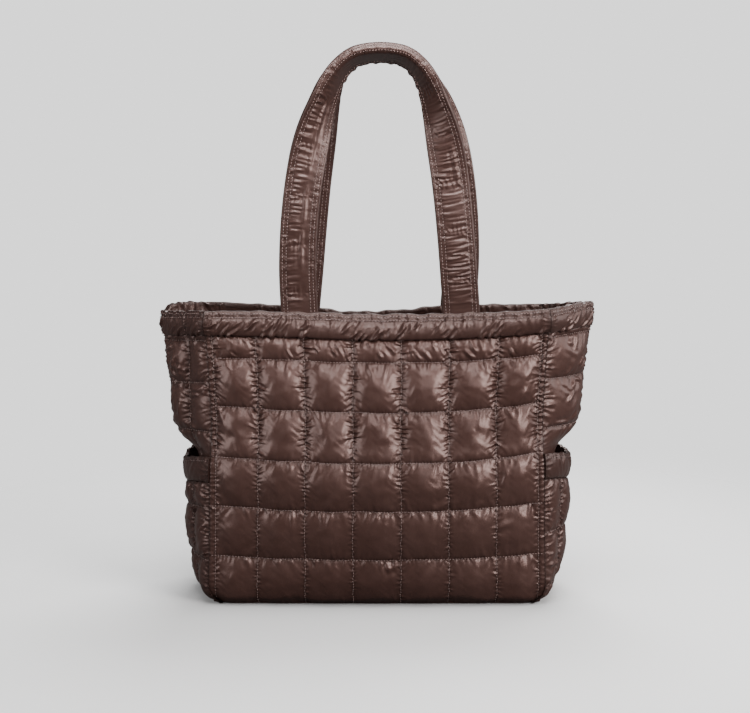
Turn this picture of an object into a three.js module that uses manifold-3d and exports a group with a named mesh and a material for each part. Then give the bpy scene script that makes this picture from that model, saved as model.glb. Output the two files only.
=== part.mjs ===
// A quilted puffer tote bag with folding side gussets, slip pockets and two long padded handles.
// Millimetres, +Z up, front towards -Y, origin on the floor under the middle of the base.
// The walls are one closed loop round the bag: front panel, right gusset, back panel, left gusset.
import * as THREE from "three";
import { mergeVertices } from "three/addons/utils/BufferGeometryUtils.js";
import Module from "manifold-3d";

const wasm = await Module();
wasm.setup();

// Body
const bodyHeight = 302; // floor to the rim
const panelWidth = 350; // a big panel between its side seams, at the rim
const gussetWidth = 132; // cloth of one gusset between its two seams
const foldReach = 50; // how far a gusset's middle fold stands out past the seams at the rim
const bellyDepth = 20; // how far a big panel bows out at its fullest
const mouthPinch = 9; // how far the front of the rim is drawn in at its middle
const backPinch = 24; // and the back of the rim
const rimWave = 8; // height of the rim's rise and sag
const waveStart = 0.2; // share of bodyHeight at which the walls start to follow that wave
const rowLift = 6; // how far the quilting rows ride up at the corners
const bowAtBase = 2.3; // power of a gusset's curve in plan: round at the base
const bowAtRim = 1.12; // and nearly a sharp fold at the rim
const bowStart = 0.3; // shares of bodyHeight between which it changes
const bowEnd = 0.95;

// Walls
const seamThickness = 2.4; // wall where it is stitched flat
const seamGap = 0.4; // clear space between two pieces sewn together
const puffHeight = 9; // how far a padded square stands out of the wall
const gussetPuff = 5.5;
const puffAcross = 0.6; // powers of a padded square's swell, across and up: smaller is fuller
const puffUp = 0.7;
const puffSag = 0.85; // below 1 the square is fullest under its middle
const baseThickness = 6;
const baseEdgeInset = 4; // rounding under the base's edge
const baseEdgeShare = 0.45; // share of its thickness which that rounding takes
const wallFoot = 0.6; // the walls' lower edge over the floor

// Quilting
const panelColumns = 7;
const firstRow = 24.5; // short row under the rim band
const rowPitch = 50.5;
const gussetRowPitch = 51;
const gussetLine = 25; // seam to the nearest upright quilting line on gussets and pockets

// Rim band
const bandHeight = 24;
const bandPuff = 9;
const bandPuffAtFold = 2; // the band is flatter where the gusset folds to an edge
const rimThickness = 8.4; // the rim's topstitched edge, facing included
const facingDepth = 0.3; // share of the band under which its inner facing thins to the seam
const rimOut = 3.6; // the part of that edge which lies outside the wall's own surface

// Side pockets
const pocketTop = 151;
const pocketGap = 0.8; // clear space between a pocket and the gusset behind it
const pocketBandHeight = 26;
const pocketPuff = 5;
const pocketBandPuff = 3.5;
const pocketRow = 53;
const pocketFirstRow = 26; // left pocket's short row under its band
const pocketGape = 13; // how far the gusset falls in behind the open pocket
const pocketGapeAbove = 30; // height over the pocket's mouth in which the gusset comes back out
const pocketGapePower = 0.8; // shape of that fall across the gusset

// Handles
const handleSpan = 166; // between the middles of a handle's two feet
const handleRise = 262; // rim to the middle of the strap at the top of the arch
const handleWidth = 36;
const handleThickness = 7.4;
const handleEdge = 2.6; // thickness at the stitched edges
const handleFoot = 3.2; // thickness where the foot is sewn flat into the rim
const footFlat = 4; // height over the rim up to which the strap stays that flat
const footSwell = 26; // and at which it has its full thickness
const footSquare = 0.3; // share of the rise in which the strap turns from the wall to face the front
const footDepth = 17; // how deep the foot goes into the rim band
const footClearance = 0.35;
const handleShift = 3.5; // the feet lie this far right of the middle
const handleLean = 20; // from the middle plane to the strap's middle at the top
const handleTwist = 72; // degrees that the strap turns on its way to the top
const twistStart = 0.34; // share of the rise at which it starts to turn
const backHandleRise = 5; // the back handle stands this much higher
const handleSway = -3.5; // how far right the front handle leans at half height
const backHandleSway = 5;
const swayPower = 0.8; // below 1 the lean is greatest under half height
const archPower = 2.85; // how square the arch's shoulders are
const handleStitchPitch = 50; // between the quilting lines across a handle
const handleStitchPinch = 0.3; // share of its thickness that a handle loses at those lines
const handleStitchReach = 9; // to each side of such a line

// Mesh fineness
const cellSteps = 4; // faces across one padded square
const narrowCellSteps = 3;
const handleSteps = 54;
const archSteps = 22;
const basePanelSteps = 14;
const baseGussetSteps = 8;

// At each share of bodyHeight, shares of panelWidth, foldReach, bellyDepth and the two pinches.
const sections = [
  { rise: 0, width: 0.978, fold: 0.11, belly: 0.1, pinch: 0 },
  { rise: 0.05, width: 0.982, fold: 0.26, belly: 0.38, pinch: 0 },
  { rise: 0.1, width: 0.98, fold: 0.35, belly: 0.6, pinch: 0 },
  { rise: 0.22, width: 0.975, fold: 0.48, belly: 0.9, pinch: 0 },
  { rise: 0.36, width: 0.972, fold: 0.54, belly: 1, pinch: 0 },
  { rise: 0.5, width: 0.969, fold: 0.64, belly: 0.98, pinch: 0.02 },
  { rise: 0.57, width: 0.968, fold: 0.82, belly: 0.91, pinch: 0.05 },
  { rise: 0.65, width: 0.97, fold: 0.87, belly: 0.8, pinch: 0.11 },
  { rise: 0.8, width: 0.984, fold: 0.945, belly: 0.5, pinch: 0.35 },
  { rise: 0.92, width: 0.998, fold: 0.985, belly: 0.2, pinch: 0.75 },
  { rise: 1, width: 1, fold: 1, belly: 0, pinch: 1 },
];

// Shares round the loop (0 front, 1 right gusset, 2 back, 3 left gusset, each from its first seam):
// the rim's rise as a share of rimWave and the rows' lift as a share of rowLift.
const loopStations = [
  { at: 0, rim: 0.06, row: 0.45 },
  { at: 0.22, rim: -0.06, row: 0.08 },
  { at: 0.5, rim: -0.44, row: 0 },
  { at: 0.75, rim: -0.25, row: 0.12 },
  { at: 0.9, rim: 0.02, row: 0.6 },
  { at: 1, rim: 0.3, row: 1 },
  { at: 1.5, rim: 0.75, row: 0.4 },
  { at: 2, rim: -0.1, row: 0.6 },
  { at: 2.25, rim: 0, row: 0.1 },
  { at: 2.55, rim: -0.85, row: 0 },
  { at: 2.72, rim: -0.2, row: 0.1 },
  { at: 3, rim: 0.15, row: 0.5 },
  { at: 3.38, rim: 0.45, row: 0.4 },
  { at: 3.5, rim: -0.4, row: 0.2 },
  { at: 4, rim: 0.06, row: 0.45 },
];

// The rim band from its seam up: height as a share of bandHeight, bulge as a share of bandPuff.
const bandProfile = [
  { rise: 0, out: 0.04 },
  { rise: 0.12, out: 0.62 },
  { rise: 0.4, out: 1 },
  { rise: 0.68, out: 0.86 },
  { rise: 0.88, out: 0.58 },
];

// A pocket's band from its seam up, in shares of pocketBandHeight and pocketBandPuff.
const pocketBandProfile = [
  { rise: 0, out: 0 },
  { rise: 0.2, out: 0.8 },
  { rise: 0.5, out: 1 },
  { rise: 0.85, out: 0.7 },
  { rise: 1, out: 0.25 },
];

// A handle's half section: shares of half the width, and of half the thickness.
const strapSection = [
  { across: 1, deep: 0 },
  { across: 0.74, deep: 0.86 },
  { across: 0, deep: 1 },
];

const cloth = new THREE.MeshStandardMaterial({ color: 0x553f3a, roughness: 0.34, metalness: 0 });
const trimCloth = new THREE.MeshStandardMaterial({ color: 0x4f3a35, roughness: 0.32, metalness: 0 });
const strapCloth = new THREE.MeshStandardMaterial({ color: 0x58433e, roughness: 0.36, metalness: 0 });

const clamp = THREE.MathUtils.clamp;
const lerp = THREE.MathUtils.lerp;
const ease = THREE.MathUtils.smoothstep;

// Reads one column of a table of stations, with a soft curve between them.
function column(table, key, name, at) {
  let i = 0;
  while (i < table.length - 2 && at > table[i + 1][key]) i += 1;
  const before = table[Math.max(i - 1, 0)];
  const from = table[i];
  const to = table[i + 1];
  const after = table[Math.min(i + 2, table.length - 1)];
  const span = to[key] - from[key];
  const t = clamp((at - from[key]) / span, 0, 1);
  const slopeFrom = before === from ? 0 : ((to[name] - before[name]) / (to[key] - before[key])) * span;
  const slopeTo = after === to ? 0 : ((after[name] - from[name]) / (after[key] - from[key])) * span;
  const t2 = t * t;
  const t3 = t2 * t;
  return (
    from[name] * (2 * t3 - 3 * t2 + 1) +
    slopeFrom * (t3 - 2 * t2 + t) +
    to[name] * (3 * t2 - 2 * t3) +
    slopeTo * (t3 - t2)
  );
}

// A gusset's plan between its seams: round at the base, and folded to an edge at the rim.
function gussetBow(across, rise) {
  const power = lerp(bowAtBase, bowAtRim, ease(rise, bowStart, bowEnd));
  return 1 - Math.abs(2 * across - 1) ** power;
}

// A point of the wall's own surface: loop is the place round the bag and height is nominal.
function wallPoint(loop, height) {
  const place = ((loop % 4) + 4) % 4;
  const side = Math.floor(place);
  const across = place - side;
  const rise = height / bodyHeight;
  const half = (panelWidth / 2) * column(sections, "rise", "width", rise);
  const fold = foldReach * column(sections, "rise", "fold", rise);
  const depth = Math.sqrt((gussetWidth / 2) ** 2 - fold ** 2);
  const bow = 1 - (2 * across - 1) ** 2;
  const pinch = (side === 0 ? mouthPinch : backPinch) * column(sections, "rise", "pinch", rise);
  const belly = (bellyDepth * column(sections, "rise", "belly", rise) - pinch) * bow;
  const wave = rimWave * column(loopStations, "at", "rim", place) * ease(rise, waveStart, 1);
  const lift = rowLift * column(loopStations, "at", "row", place) * Math.sin(Math.PI * clamp(rise, 0, 1));
  const z = height + wave + lift;
  if (side === 0) return new THREE.Vector3(lerp(-half, half, across), -depth - belly, z);
  if (side === 1) {
    return new THREE.Vector3(half + fold * gussetBow(across, rise), lerp(-depth, depth, across), z);
  }
  if (side === 2) return new THREE.Vector3(lerp(half, -half, across), depth + belly, z);
  return new THREE.Vector3(-half - fold * gussetBow(across, rise), lerp(depth, -depth, across), z);
}

// The level direction out of the wall, which two pieces that meet at a seam share.
function wallNormal(loop, height) {
  const step = 0.004;
  const back = wallPoint(loop, height).sub(wallPoint(loop - step, height));
  const ahead = wallPoint(loop + step, height).sub(wallPoint(loop, height));
  const along = back.setZ(0).normalize().add(ahead.setZ(0).normalize());
  return new THREE.Vector3(along.y, -along.x, 0).normalize();
}

// The wall's surface moved out by a distance. A piece that starts at a seam keeps half the gap
// ahead of it, and a piece that ends at one keeps half the gap back from it.
function offWall(loop, height, out, keep = 0) {
  const normal = wallNormal(loop, height);
  const along = new THREE.Vector3(-normal.y, normal.x, 0);
  const point = wallPoint(loop, height).addScaledVector(normal, out);
  return point.addScaledVector(along, (keep * seamGap) / 2);
}

// Which way a place among the lines of a piece keeps clear: ahead at the first, back at the last.
function keepAt(i, count) {
  if (i === 0) return 1;
  return i === count - 1 ? -1 : 0;
}

// A closed mesh from its points and its faces, each a list of point numbers turning left from outside.
function meshFrom(points, faces) {
  const positions = [];
  for (const face of faces) {
    for (let i = 1; i < face.length - 1; i += 1) {
      for (const n of [face[0], face[i], face[i + 1]]) positions.push(...points[n].toArray());
    }
  }
  const geometry = new THREE.BufferGeometry();
  geometry.setAttribute("position", new THREE.Float32BufferAttribute(positions, 3));
  return geometry;
}

// Even steps between lines, with the lines themselves.
function between(lines, steps) {
  const stops = [lines[0]];
  for (let i = 1; i < lines.length; i += 1) {
    for (let k = 1; k <= steps; k += 1) stops.push(lerp(lines[i - 1], lines[i], k / steps));
  }
  return stops;
}

// A padded square's height as a share, 0 along its stitches. It sags, so it is fullest below its middle.
function pillow(u, v) {
  return Math.sin(Math.PI * u) ** puffAcross * Math.sin(Math.PI * v ** puffSag) ** puffUp;
}

// Where a place lies among the lines: 0 at one line and 1 at the next.
function shareBetween(lines, at) {
  let i = 0;
  while (i < lines.length - 2 && at > lines[i + 1] + 1e-9) i += 1;
  return clamp((at - lines[i]) / (lines[i + 1] - lines[i]), 0, 1);
}

// A wall of quilted cloth between upright lines (places round the loop) and level lines (heights),
// with a number of steps across each square. Its outer face is padded. Its inner face is flat
// between the stitched corners, or close fitting, so that it follows the outer face's own curve.
function quiltedWall({ uprights, levels, steps, outer, inner, closeFitting }) {
  const us = between(uprights, steps);
  const vs = between(levels, steps);
  const points = [];
  const add = (p) => points.push(p) - 1;
  const keep = us.map((_, i) => keepAt(i, us.length));
  const face = us.map((u, i) => vs.map((v) => add(offWall(u, v, outer(u, v), keep[i]))));
  const span = closeFitting ? 1 : steps;
  const lining = us.map((u, i) =>
    vs.map((v, j) => {
      const onEdge = i === 0 || j === 0 || i === us.length - 1 || j === vs.length - 1;
      if (!onEdge && (i % span !== 0 || j % span !== 0)) return -1;
      return add(offWall(u, v, inner(u, v), keep[i]));
    }),
  );
  const faces = [];
  for (let i = 0; i + 1 < us.length; i += 1) {
    for (let j = 0; j + 1 < vs.length; j += 1) {
      faces.push([face[i][j], face[i + 1][j], face[i + 1][j + 1], face[i][j + 1]]);
    }
  }
  for (let i = 0; i + span < us.length; i += span) {
    for (let j = 0; j + span < vs.length; j += span) {
      faces.push(liningCell(lining, i, j, span));
    }
  }
  const lastU = us.length - 1;
  const lastV = vs.length - 1;
  for (let i = 0; i < lastU; i += 1) {
    faces.push([face[i][0], lining[i][0], lining[i + 1][0], face[i + 1][0]]);
    faces.push([face[i + 1][lastV], lining[i + 1][lastV], lining[i][lastV], face[i][lastV]]);
  }
  for (let j = 0; j < lastV; j += 1) {
    faces.push([face[0][j + 1], lining[0][j + 1], lining[0][j], face[0][j]]);
    faces.push([face[lastU][j], lining[lastU][j], lining[lastU][j + 1], face[lastU][j + 1]]);
  }
  return meshFrom(points, faces);
}

// One square of the flat inner face. Its rim holds the extra points of the wall's own edges, and it
// is cut as a fan from a corner that lies away from those edges.
function liningCell(lining, i, j, span) {
  const ring = [];
  for (let k = 0; k < span; k += 1) ring.push([i, j + k]);
  for (let k = 0; k < span; k += 1) ring.push([i + k, j + span]);
  for (let k = 0; k < span; k += 1) ring.push([i + span, j + span - k]);
  for (let k = 0; k < span; k += 1) ring.push([i + span - k, j]);
  const startU = i === 0 ? i + span : i;
  const startV = j === 0 ? j + span : j;
  const kept = ring.filter(([a, b]) => lining[a][b] >= 0);
  const first = kept.findIndex(([a, b]) => a === startU && b === startV);
  return [...kept.slice(first), ...kept.slice(0, first)].map(([a, b]) => lining[a][b]);
}

// Upright lines of one side: its two seams and the lines between.
function sideLines(side, inside) {
  return [side, ...inside.map((share) => side + share), side + 1];
}

// Level lines from a low edge up to a high one: the first row under the top, then even rows.
function rowLines(low, high, first, pitch) {
  const lines = [high];
  for (let at = high - first; at > low + pitch / 3; at -= pitch) lines.push(at);
  lines.push(low);
  return lines.reverse();
}

const bandSeam = bodyHeight - bandHeight;
const wallTop = bandSeam - seamGap / 2;

// Upright lines inside a big panel, and those on the left gusset and both pockets, as shares.
const panelLines = Array.from({ length: panelColumns - 1 }, (_, i) => (i + 1) / panelColumns);
const narrowLines = [gussetLine / gussetWidth, 0.5, 1 - gussetLine / gussetWidth];
const wideLines = [0.5];

function bigPanel(side) {
  const uprights = sideLines(side, panelLines);
  const levels = rowLines(wallFoot, wallTop, firstRow, rowPitch);
  const outer = (u, v) => puffHeight * pillow(shareBetween(uprights, u), shareBetween(levels, v));
  const inner = () => -seamThickness;
  return quiltedWall({ uprights, levels, steps: cellSteps, outer, inner, closeFitting: false });
}

// How far the gusset falls in behind its pocket, by place round the loop and height.
function gape(loop, height) {
  const across = loop - Math.floor(loop + 1e-9);
  const fall =
    height < pocketTop
      ? ease(height, wallFoot, pocketTop)
      : 1 - ease(height, pocketTop, pocketTop + pocketGapeAbove);
  return pocketGape * Math.sin(Math.PI * clamp(across, 0, 1)) ** pocketGapePower * fall;
}

function gusset(side, lines, steps) {
  const uprights = sideLines(side, lines);
  const levels = rowLines(wallFoot, wallTop, gussetRowPitch, gussetRowPitch);
  const padding = (height) => ease(height, pocketTop - pocketBandHeight / 2, pocketTop + pocketGapeAbove);
  const outer = (u, v) => {
    const swell = gussetPuff * padding(v) * pillow(shareBetween(uprights, u), shareBetween(levels, v));
    return swell - gape(u, v);
  };
  const inner = (u, v) => -seamThickness - gape(u, v);
  return quiltedWall({ uprights, levels, steps, outer, inner, closeFitting: true });
}

const pocketSeam = pocketTop - pocketBandHeight;
const pocketGround = pocketGap + seamThickness;

function pocket(side, first) {
  const uprights = sideLines(side, narrowLines);
  const levels = rowLines(wallFoot, pocketSeam - seamGap / 2, first, pocketRow);
  const outer = (u, v) => {
    return pocketGround + pocketPuff * pillow(shareBetween(uprights, u), shareBetween(levels, v));
  };
  const inner = () => pocketGap;
  return quiltedWall({ uprights, levels, steps: narrowCellSteps, outer, inner, closeFitting: true });
}

// A band that runs along part of the loop. At each place its section lists height and distance out
// of the wall, up the outer face and down the inner one.
function band(places, section) {
  const points = [];
  const rings = places.map((place, i) => {
    const keep = keepAt(i, places.length);
    return section(place).map(({ height, out }) => points.push(offWall(place, height, out, keep)) - 1);
  });
  const faces = [];
  for (let i = 0; i + 1 < rings.length; i += 1) {
    for (let k = 0; k < rings[i].length; k += 1) {
      const n = (k + 1) % rings[i].length;
      faces.push([rings[i][k], rings[i + 1][k], rings[i + 1][n], rings[i][n]]);
    }
  }
  faces.push(rings[0], [...rings[rings.length - 1]].reverse());
  return meshFrom(points, faces);
}

function rimSection(loop) {
  const low = bandSeam + seamGap / 2;
  const height = bodyHeight - low;
  const across = loop - Math.floor(loop);
  const onGusset = Math.floor(loop) % 2 === 1;
  const fold = onGusset ? Math.sin(Math.PI * across) : 0;
  const puff = lerp(bandPuff, bandPuffAtFold, fold);
  const edge = lerp(rimOut, 0, fold);
  const outside = bandProfile.map(({ rise, out }) => ({ height: low + height * rise, out: puff * out }));
  return [
    ...outside,
    { height: bodyHeight, out: edge },
    { height: bodyHeight, out: rimOut - rimThickness },
    { height: low + height * facingDepth, out: rimOut - rimThickness },
    { height: low, out: -seamThickness },
  ];
}

function pocketBandSection() {
  const low = pocketSeam + seamGap / 2;
  const outside = pocketBandProfile.map(({ rise, out }) => {
    return { height: lerp(low, pocketTop, rise), out: pocketGround + pocketBandPuff * out };
  });
  return [...outside, { height: pocketTop, out: pocketGap }, { height: low, out: pocketGap }];
}

// The places of a band's rings, which are those of the wall that it is sewn to.
function bandPlaces(side, lines, steps) {
  return between(sideLines(side, lines), steps);
}

function pocketBand(side) {
  return band(bandPlaces(side, narrowLines, narrowCellSteps), pocketBandSection);
}

// The height and half width of the arch at an angle that runs from one foot to the other.
function archPlace(angle, rise) {
  const across = Math.sign(Math.cos(angle)) * Math.abs(Math.cos(angle)) ** (2 / archPower);
  return { across: (handleSpan / 2) * across, height: Math.sin(angle) * rise };
}

// Place round the loop that lies at a distance right of the middle, on the front or the back panel.
function loopAt(front, x) {
  const share = x / panelWidth;
  return front ? 0.5 + share : 2.5 - share;
}

// The strap's line, from the bottom of its left foot over the arch to the bottom of its right foot.
function handleLine(front) {
  const facing = front ? -1 : 1;
  const rise = handleRise + (front ? 0 : backHandleRise);
  const middle = rimOut - rimThickness / 2;
  const foot = (x, height) => offWall(loopAt(front, x + handleShift), height, middle);
  const left = -handleSpan / 2;
  const points = [];
  for (const height of [bodyHeight - footDepth, bodyHeight - footDepth / 2]) points.push(foot(left, height));
  for (let i = 0; i <= archSteps; i += 1) {
    const { across, height } = archPlace(Math.PI * (1 - i / archSteps), rise);
    const share = height / rise;
    const base = foot(across < 0 ? left : -left, bodyHeight);
    const shift = (front ? handleSway : backHandleSway) * Math.sin(Math.PI * share ** swayPower);
    points.push(
      new THREE.Vector3(
        across + handleShift + shift,
        lerp(base.y, facing * handleLean, ease(share, 0, 1)),
        base.z * (1 - share) + (bodyHeight + rise) * share,
      ),
    );
  }
  for (const height of [bodyHeight - footDepth / 2, bodyHeight - footDepth]) points.push(foot(-left, height));
  return new THREE.CatmullRomCurve3(points, false, "centripetal");
}

// The ring of a flat padded strap, as width and depth pairs.
function strapRing(width, edge, thickness) {
  const bulge = (deep) => edge / 2 + (thickness / 2 - edge / 2) * deep;
  const top = strapSection.map(({ across, deep }) => [across * (width / 2), bulge(deep)]);
  const upper = [...top, ...top.slice(0, -1).reverse().map(([w, d]) => [-w, d])];
  return [...upper, ...[...upper].reverse().map(([w, d]) => [w, -d])];
}

// Rings of the strap along its line. The strap lies flat in the wall at its feet, faces the front
// above them, and turns so that its outer edge comes to the outside and it lies nearly level at the top.
function strapRings(front, distances, grow) {
  const facing = front ? -1 : 1;
  const line = handleLine(front);
  const length = line.getLength();
  const rise = handleRise + (front ? 0 : backHandleRise);
  return distances.map((distance) => {
    const t = clamp(distance / length, 0, 1);
    const centre = line.getPointAt(t);
    const along = line.getTangentAt(t);
    centre.addScaledVector(along, distance - t * length);
    const share = clamp((centre.z - bodyHeight) / rise, 0, 1);
    const turn = THREE.MathUtils.degToRad(handleTwist) * ease(share, twistStart, 0.99);
    const depthwise = new THREE.Vector3(0, facing, 0).addScaledVector(along, -along.y * facing).normalize();
    const foot = handleShift + (distance < length / 2 ? -handleSpan / 2 : handleSpan / 2);
    const inWall = wallNormal(loopAt(front, foot), bodyHeight).multiplyScalar(facing);
    const square = inWall.lerp(new THREE.Vector3(0, 1, 0), ease(share, 0, footSquare));
    const outward = new THREE.Vector3().crossVectors(along, square).normalize();
    const wide = outward.multiplyScalar(Math.cos(turn)).addScaledVector(depthwise, Math.sin(turn));
    wide.addScaledVector(along, -wide.dot(along)).normalize();
    const deep = new THREE.Vector3().crossVectors(along, wide);
    const sewnFlat = 1 - ease(centre.z, bodyHeight + footFlat, bodyHeight + footSwell);
    const pastLine = (distance + handleStitchPitch / 2) % handleStitchPitch;
    const nearest = Math.abs(pastLine - handleStitchPitch / 2);
    const pinch = 1 - handleStitchPinch * (1 - ease(nearest, 0, handleStitchReach));
    const thick = lerp(handleThickness * pinch, handleFoot, sewnFlat);
    const edge = lerp(handleEdge, handleFoot, sewnFlat);
    const ring = strapRing(handleWidth + 2 * grow, edge + 2 * grow, thick + 2 * grow);
    return ring.map(([w, d]) => centre.clone().addScaledVector(wide, w).addScaledVector(deep, d));
  });
}

// Joins rings into a closed solid with flat ends.
function skin(rings) {
  const points = rings.flat();
  const size = rings[0].length;
  const faces = [];
  for (let i = 0; i + 1 < rings.length; i += 1) {
    for (let k = 0; k < size; k += 1) {
      const n = (k + 1) % size;
      faces.push([i * size + k, i * size + n, (i + 1) * size + n, (i + 1) * size + k]);
    }
  }
  const last = (rings.length - 1) * size;
  const ids = rings[0].map((_, k) => k);
  faces.push([...ids].reverse(), ids.map((k) => last + k));
  return meshFrom(points, faces);
}

function ringDistances(front) {
  const length = handleLine(front).getLength();
  const distances = [];
  for (let i = 0; i <= handleSteps; i += 1) distances.push((length * i) / handleSteps);
  return distances;
}

function handle(front) {
  return skin(strapRings(front, ringDistances(front), 0));
}

// The two slots that a handle's feet fill in the rim band. Each follows the strap's own rings, from
// just under the foot to the first ring that is clear above the rim.
function footSlots(front) {
  const all = ringDistances(front);
  const length = all[all.length - 1];
  const count = 1 + all.findIndex((distance) => distance > footDepth + rimWave);
  const left = [-footClearance, ...all.slice(1, count)];
  const right = [...all.slice(all.length - count, all.length - 1), length + footClearance];
  return [left, right].map((distances) => skin(strapRings(front, distances, footClearance)));
}

// Cutting with the solid library
function solidOf(geometry) {
  const bare = geometry.clone();
  bare.deleteAttribute("normal");
  bare.deleteAttribute("uv");
  const merged = mergeVertices(bare, 1e-4);
  return new wasm.Manifold(
    new wasm.Mesh({
      numProp: 3,
      vertProperties: merged.attributes.position.array,
      triVerts: new Uint32Array(merged.index.array),
    }),
  );
}

function geometryOf(solid) {
  const mesh = solid.getMesh();
  const geometry = new THREE.BufferGeometry();
  geometry.setAttribute("position", new THREE.BufferAttribute(mesh.vertProperties, 3));
  geometry.setIndex(new THREE.BufferAttribute(mesh.triVerts, 1));
  return geometry;
}

// A rim band with the slots for the handle's feet cut from its top.
function slottedBand(front) {
  let solid = solidOf(band(bandPlaces(front ? 0 : 2, panelLines, cellSteps), rimSection));
  for (const slot of footSlots(front)) solid = solid.subtract(solidOf(slot));
  return geometryOf(solid);
}

// The base: a flat padded plate between the feet of the walls, with a rounded lower edge.
function base() {
  const reach = -seamThickness - seamGap;
  const places = [];
  for (let side = 0; side < 4; side += 1) {
    const count = side % 2 === 0 ? basePanelSteps : baseGussetSteps;
    for (let i = 0; i < count; i += 1) places.push(side + i / count);
  }
  const levels = [
    { z: 0, out: reach - baseEdgeInset },
    { z: baseThickness * baseEdgeShare, out: reach },
    { z: baseThickness, out: reach },
  ];
  const ring = ({ z, out }) => places.map((place) => offWall(place, wallFoot, out).setZ(z));
  const points = levels.flatMap(ring);
  const size = places.length;
  const faces = [];
  for (let i = 0; i + 1 < levels.length; i += 1) {
    for (let k = 0; k < size; k += 1) {
      const n = (k + 1) % size;
      faces.push([i * size + k, i * size + n, (i + 1) * size + n, (i + 1) * size + k]);
    }
  }
  const under = points.push(new THREE.Vector3(0, 0, 0)) - 1;
  const over = points.push(new THREE.Vector3(0, 0, baseThickness)) - 1;
  const last = (levels.length - 1) * size;
  for (let k = 0; k < size; k += 1) {
    const n = (k + 1) % size;
    faces.push([under, n, k], [over, last + k, last + n]);
  }
  return meshFrom(points, faces);
}

const bag = new THREE.Group();
bag.name = "puffer_tote_bag";

function addPiece(name, geometry, material) {
  const mesh = new THREE.Mesh(geometry, material);
  mesh.name = name;
  bag.add(mesh);
}

addPiece("front_panel", bigPanel(0), cloth);
addPiece("right_gusset", gusset(1, wideLines, cellSteps), cloth);
addPiece("back_panel", bigPanel(2), cloth);
addPiece("left_gusset", gusset(3, narrowLines, narrowCellSteps), cloth);
addPiece("bottom_panel", base(), cloth);
addPiece("front_rim_band", slottedBand(true), trimCloth);
addPiece("right_rim_band", band(bandPlaces(1, wideLines, cellSteps), rimSection), trimCloth);
addPiece("back_rim_band", slottedBand(false), trimCloth);
addPiece("left_rim_band", band(bandPlaces(3, narrowLines, narrowCellSteps), rimSection), trimCloth);
addPiece("right_pocket", pocket(1, pocketRow), cloth);
addPiece("right_pocket_band", pocketBand(1), trimCloth);
addPiece("left_pocket", pocket(3, pocketFirstRow), cloth);
addPiece("left_pocket_band", pocketBand(3), trimCloth);
addPiece("front_handle", handle(true), strapCloth);
addPiece("back_handle", handle(false), strapCloth);

export default bag;
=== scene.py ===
import math

import bpy
import numpy as np
from bpy.props import FloatProperty, FloatVectorProperty, IntProperty, PointerProperty
from mathutils import Matrix, Vector
from mathutils.kdtree import KDTree


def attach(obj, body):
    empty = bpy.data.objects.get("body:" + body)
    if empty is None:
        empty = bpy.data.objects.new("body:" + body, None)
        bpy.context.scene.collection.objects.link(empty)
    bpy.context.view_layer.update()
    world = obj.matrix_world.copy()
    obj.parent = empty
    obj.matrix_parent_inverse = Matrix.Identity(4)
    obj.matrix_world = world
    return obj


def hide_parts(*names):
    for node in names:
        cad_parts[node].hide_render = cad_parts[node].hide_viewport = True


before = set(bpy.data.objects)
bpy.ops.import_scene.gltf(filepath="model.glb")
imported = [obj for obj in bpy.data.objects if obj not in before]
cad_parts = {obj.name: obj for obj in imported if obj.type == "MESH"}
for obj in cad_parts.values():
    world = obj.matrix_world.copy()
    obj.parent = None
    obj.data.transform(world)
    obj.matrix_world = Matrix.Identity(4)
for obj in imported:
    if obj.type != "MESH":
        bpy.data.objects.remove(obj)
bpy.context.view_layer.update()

bl_info = {
    "name": "Puffer tote",
    "version": (1, 0, 0),
    "blender": (4, 5, 0),
    "location": "3D View > Sidebar > Tote",
    "description": "Makes the padded cloth, rim bands, handles and stitching of a quilted puffer tote bag",
    "category": "Object",
}

MM = 0.001
FRONT, RIGHT, BACK, LEFT = range(4)
SEAM_GAP = 0.4 * MM
SEAM_THICKNESS = 2.4 * MM
WALL_FOOT = 0.6 * MM
PHOTO_WIDTH = 750
PHOTO_SHIFT = -2


def stations(names, *rows):
    """A table whose columns are named."""
    return [dict(zip(names.split(), row)) for row in rows]


# Shares of the body height, and at each one shares of the panel's width, the fold's reach, the belly's
# depth and the rim's two pinches.
SECTIONS = stations(
    "rise width fold belly pinch",
    (0, 0.978, 0.11, 0.1, 0),
    (0.05, 0.982, 0.26, 0.38, 0),
    (0.1, 0.98, 0.35, 0.6, 0),
    (0.22, 0.975, 0.48, 0.9, 0),
    (0.36, 0.972, 0.54, 1, 0),
    (0.5, 0.969, 0.64, 0.98, 0.02),
    (0.57, 0.968, 0.82, 0.91, 0.05),
    (0.65, 0.97, 0.87, 0.8, 0.11),
    (0.8, 0.984, 0.945, 0.5, 0.35),
    (0.92, 0.998, 0.985, 0.2, 0.75),
    (1, 1, 1, 0, 1),
)

# Places round the bag, 0 to 1 front, to 2 right gusset, to 3 back, to 4 left gusset: shares of the
# rim's wave and of the rows' lift.
STATIONS = stations(
    "at rim row",
    (0, 0.06, 0.45),
    (0.22, -0.06, 0.08),
    (0.5, -0.44, 0),
    (0.75, -0.25, 0.12),
    (0.9, 0.02, 0.6),
    (1, 0.3, 1),
    (1.5, 0.75, 0.4),
    (2, -0.1, 0.6),
    (2.25, 0, 0.1),
    (2.55, -0.85, 0),
    (2.72, -0.2, 0.1),
    (3, 0.15, 0.5),
    (3.38, 0.45, 0.4),
    (3.5, -0.4, 0.2),
    (4, 0.06, 0.45),
)

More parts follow.
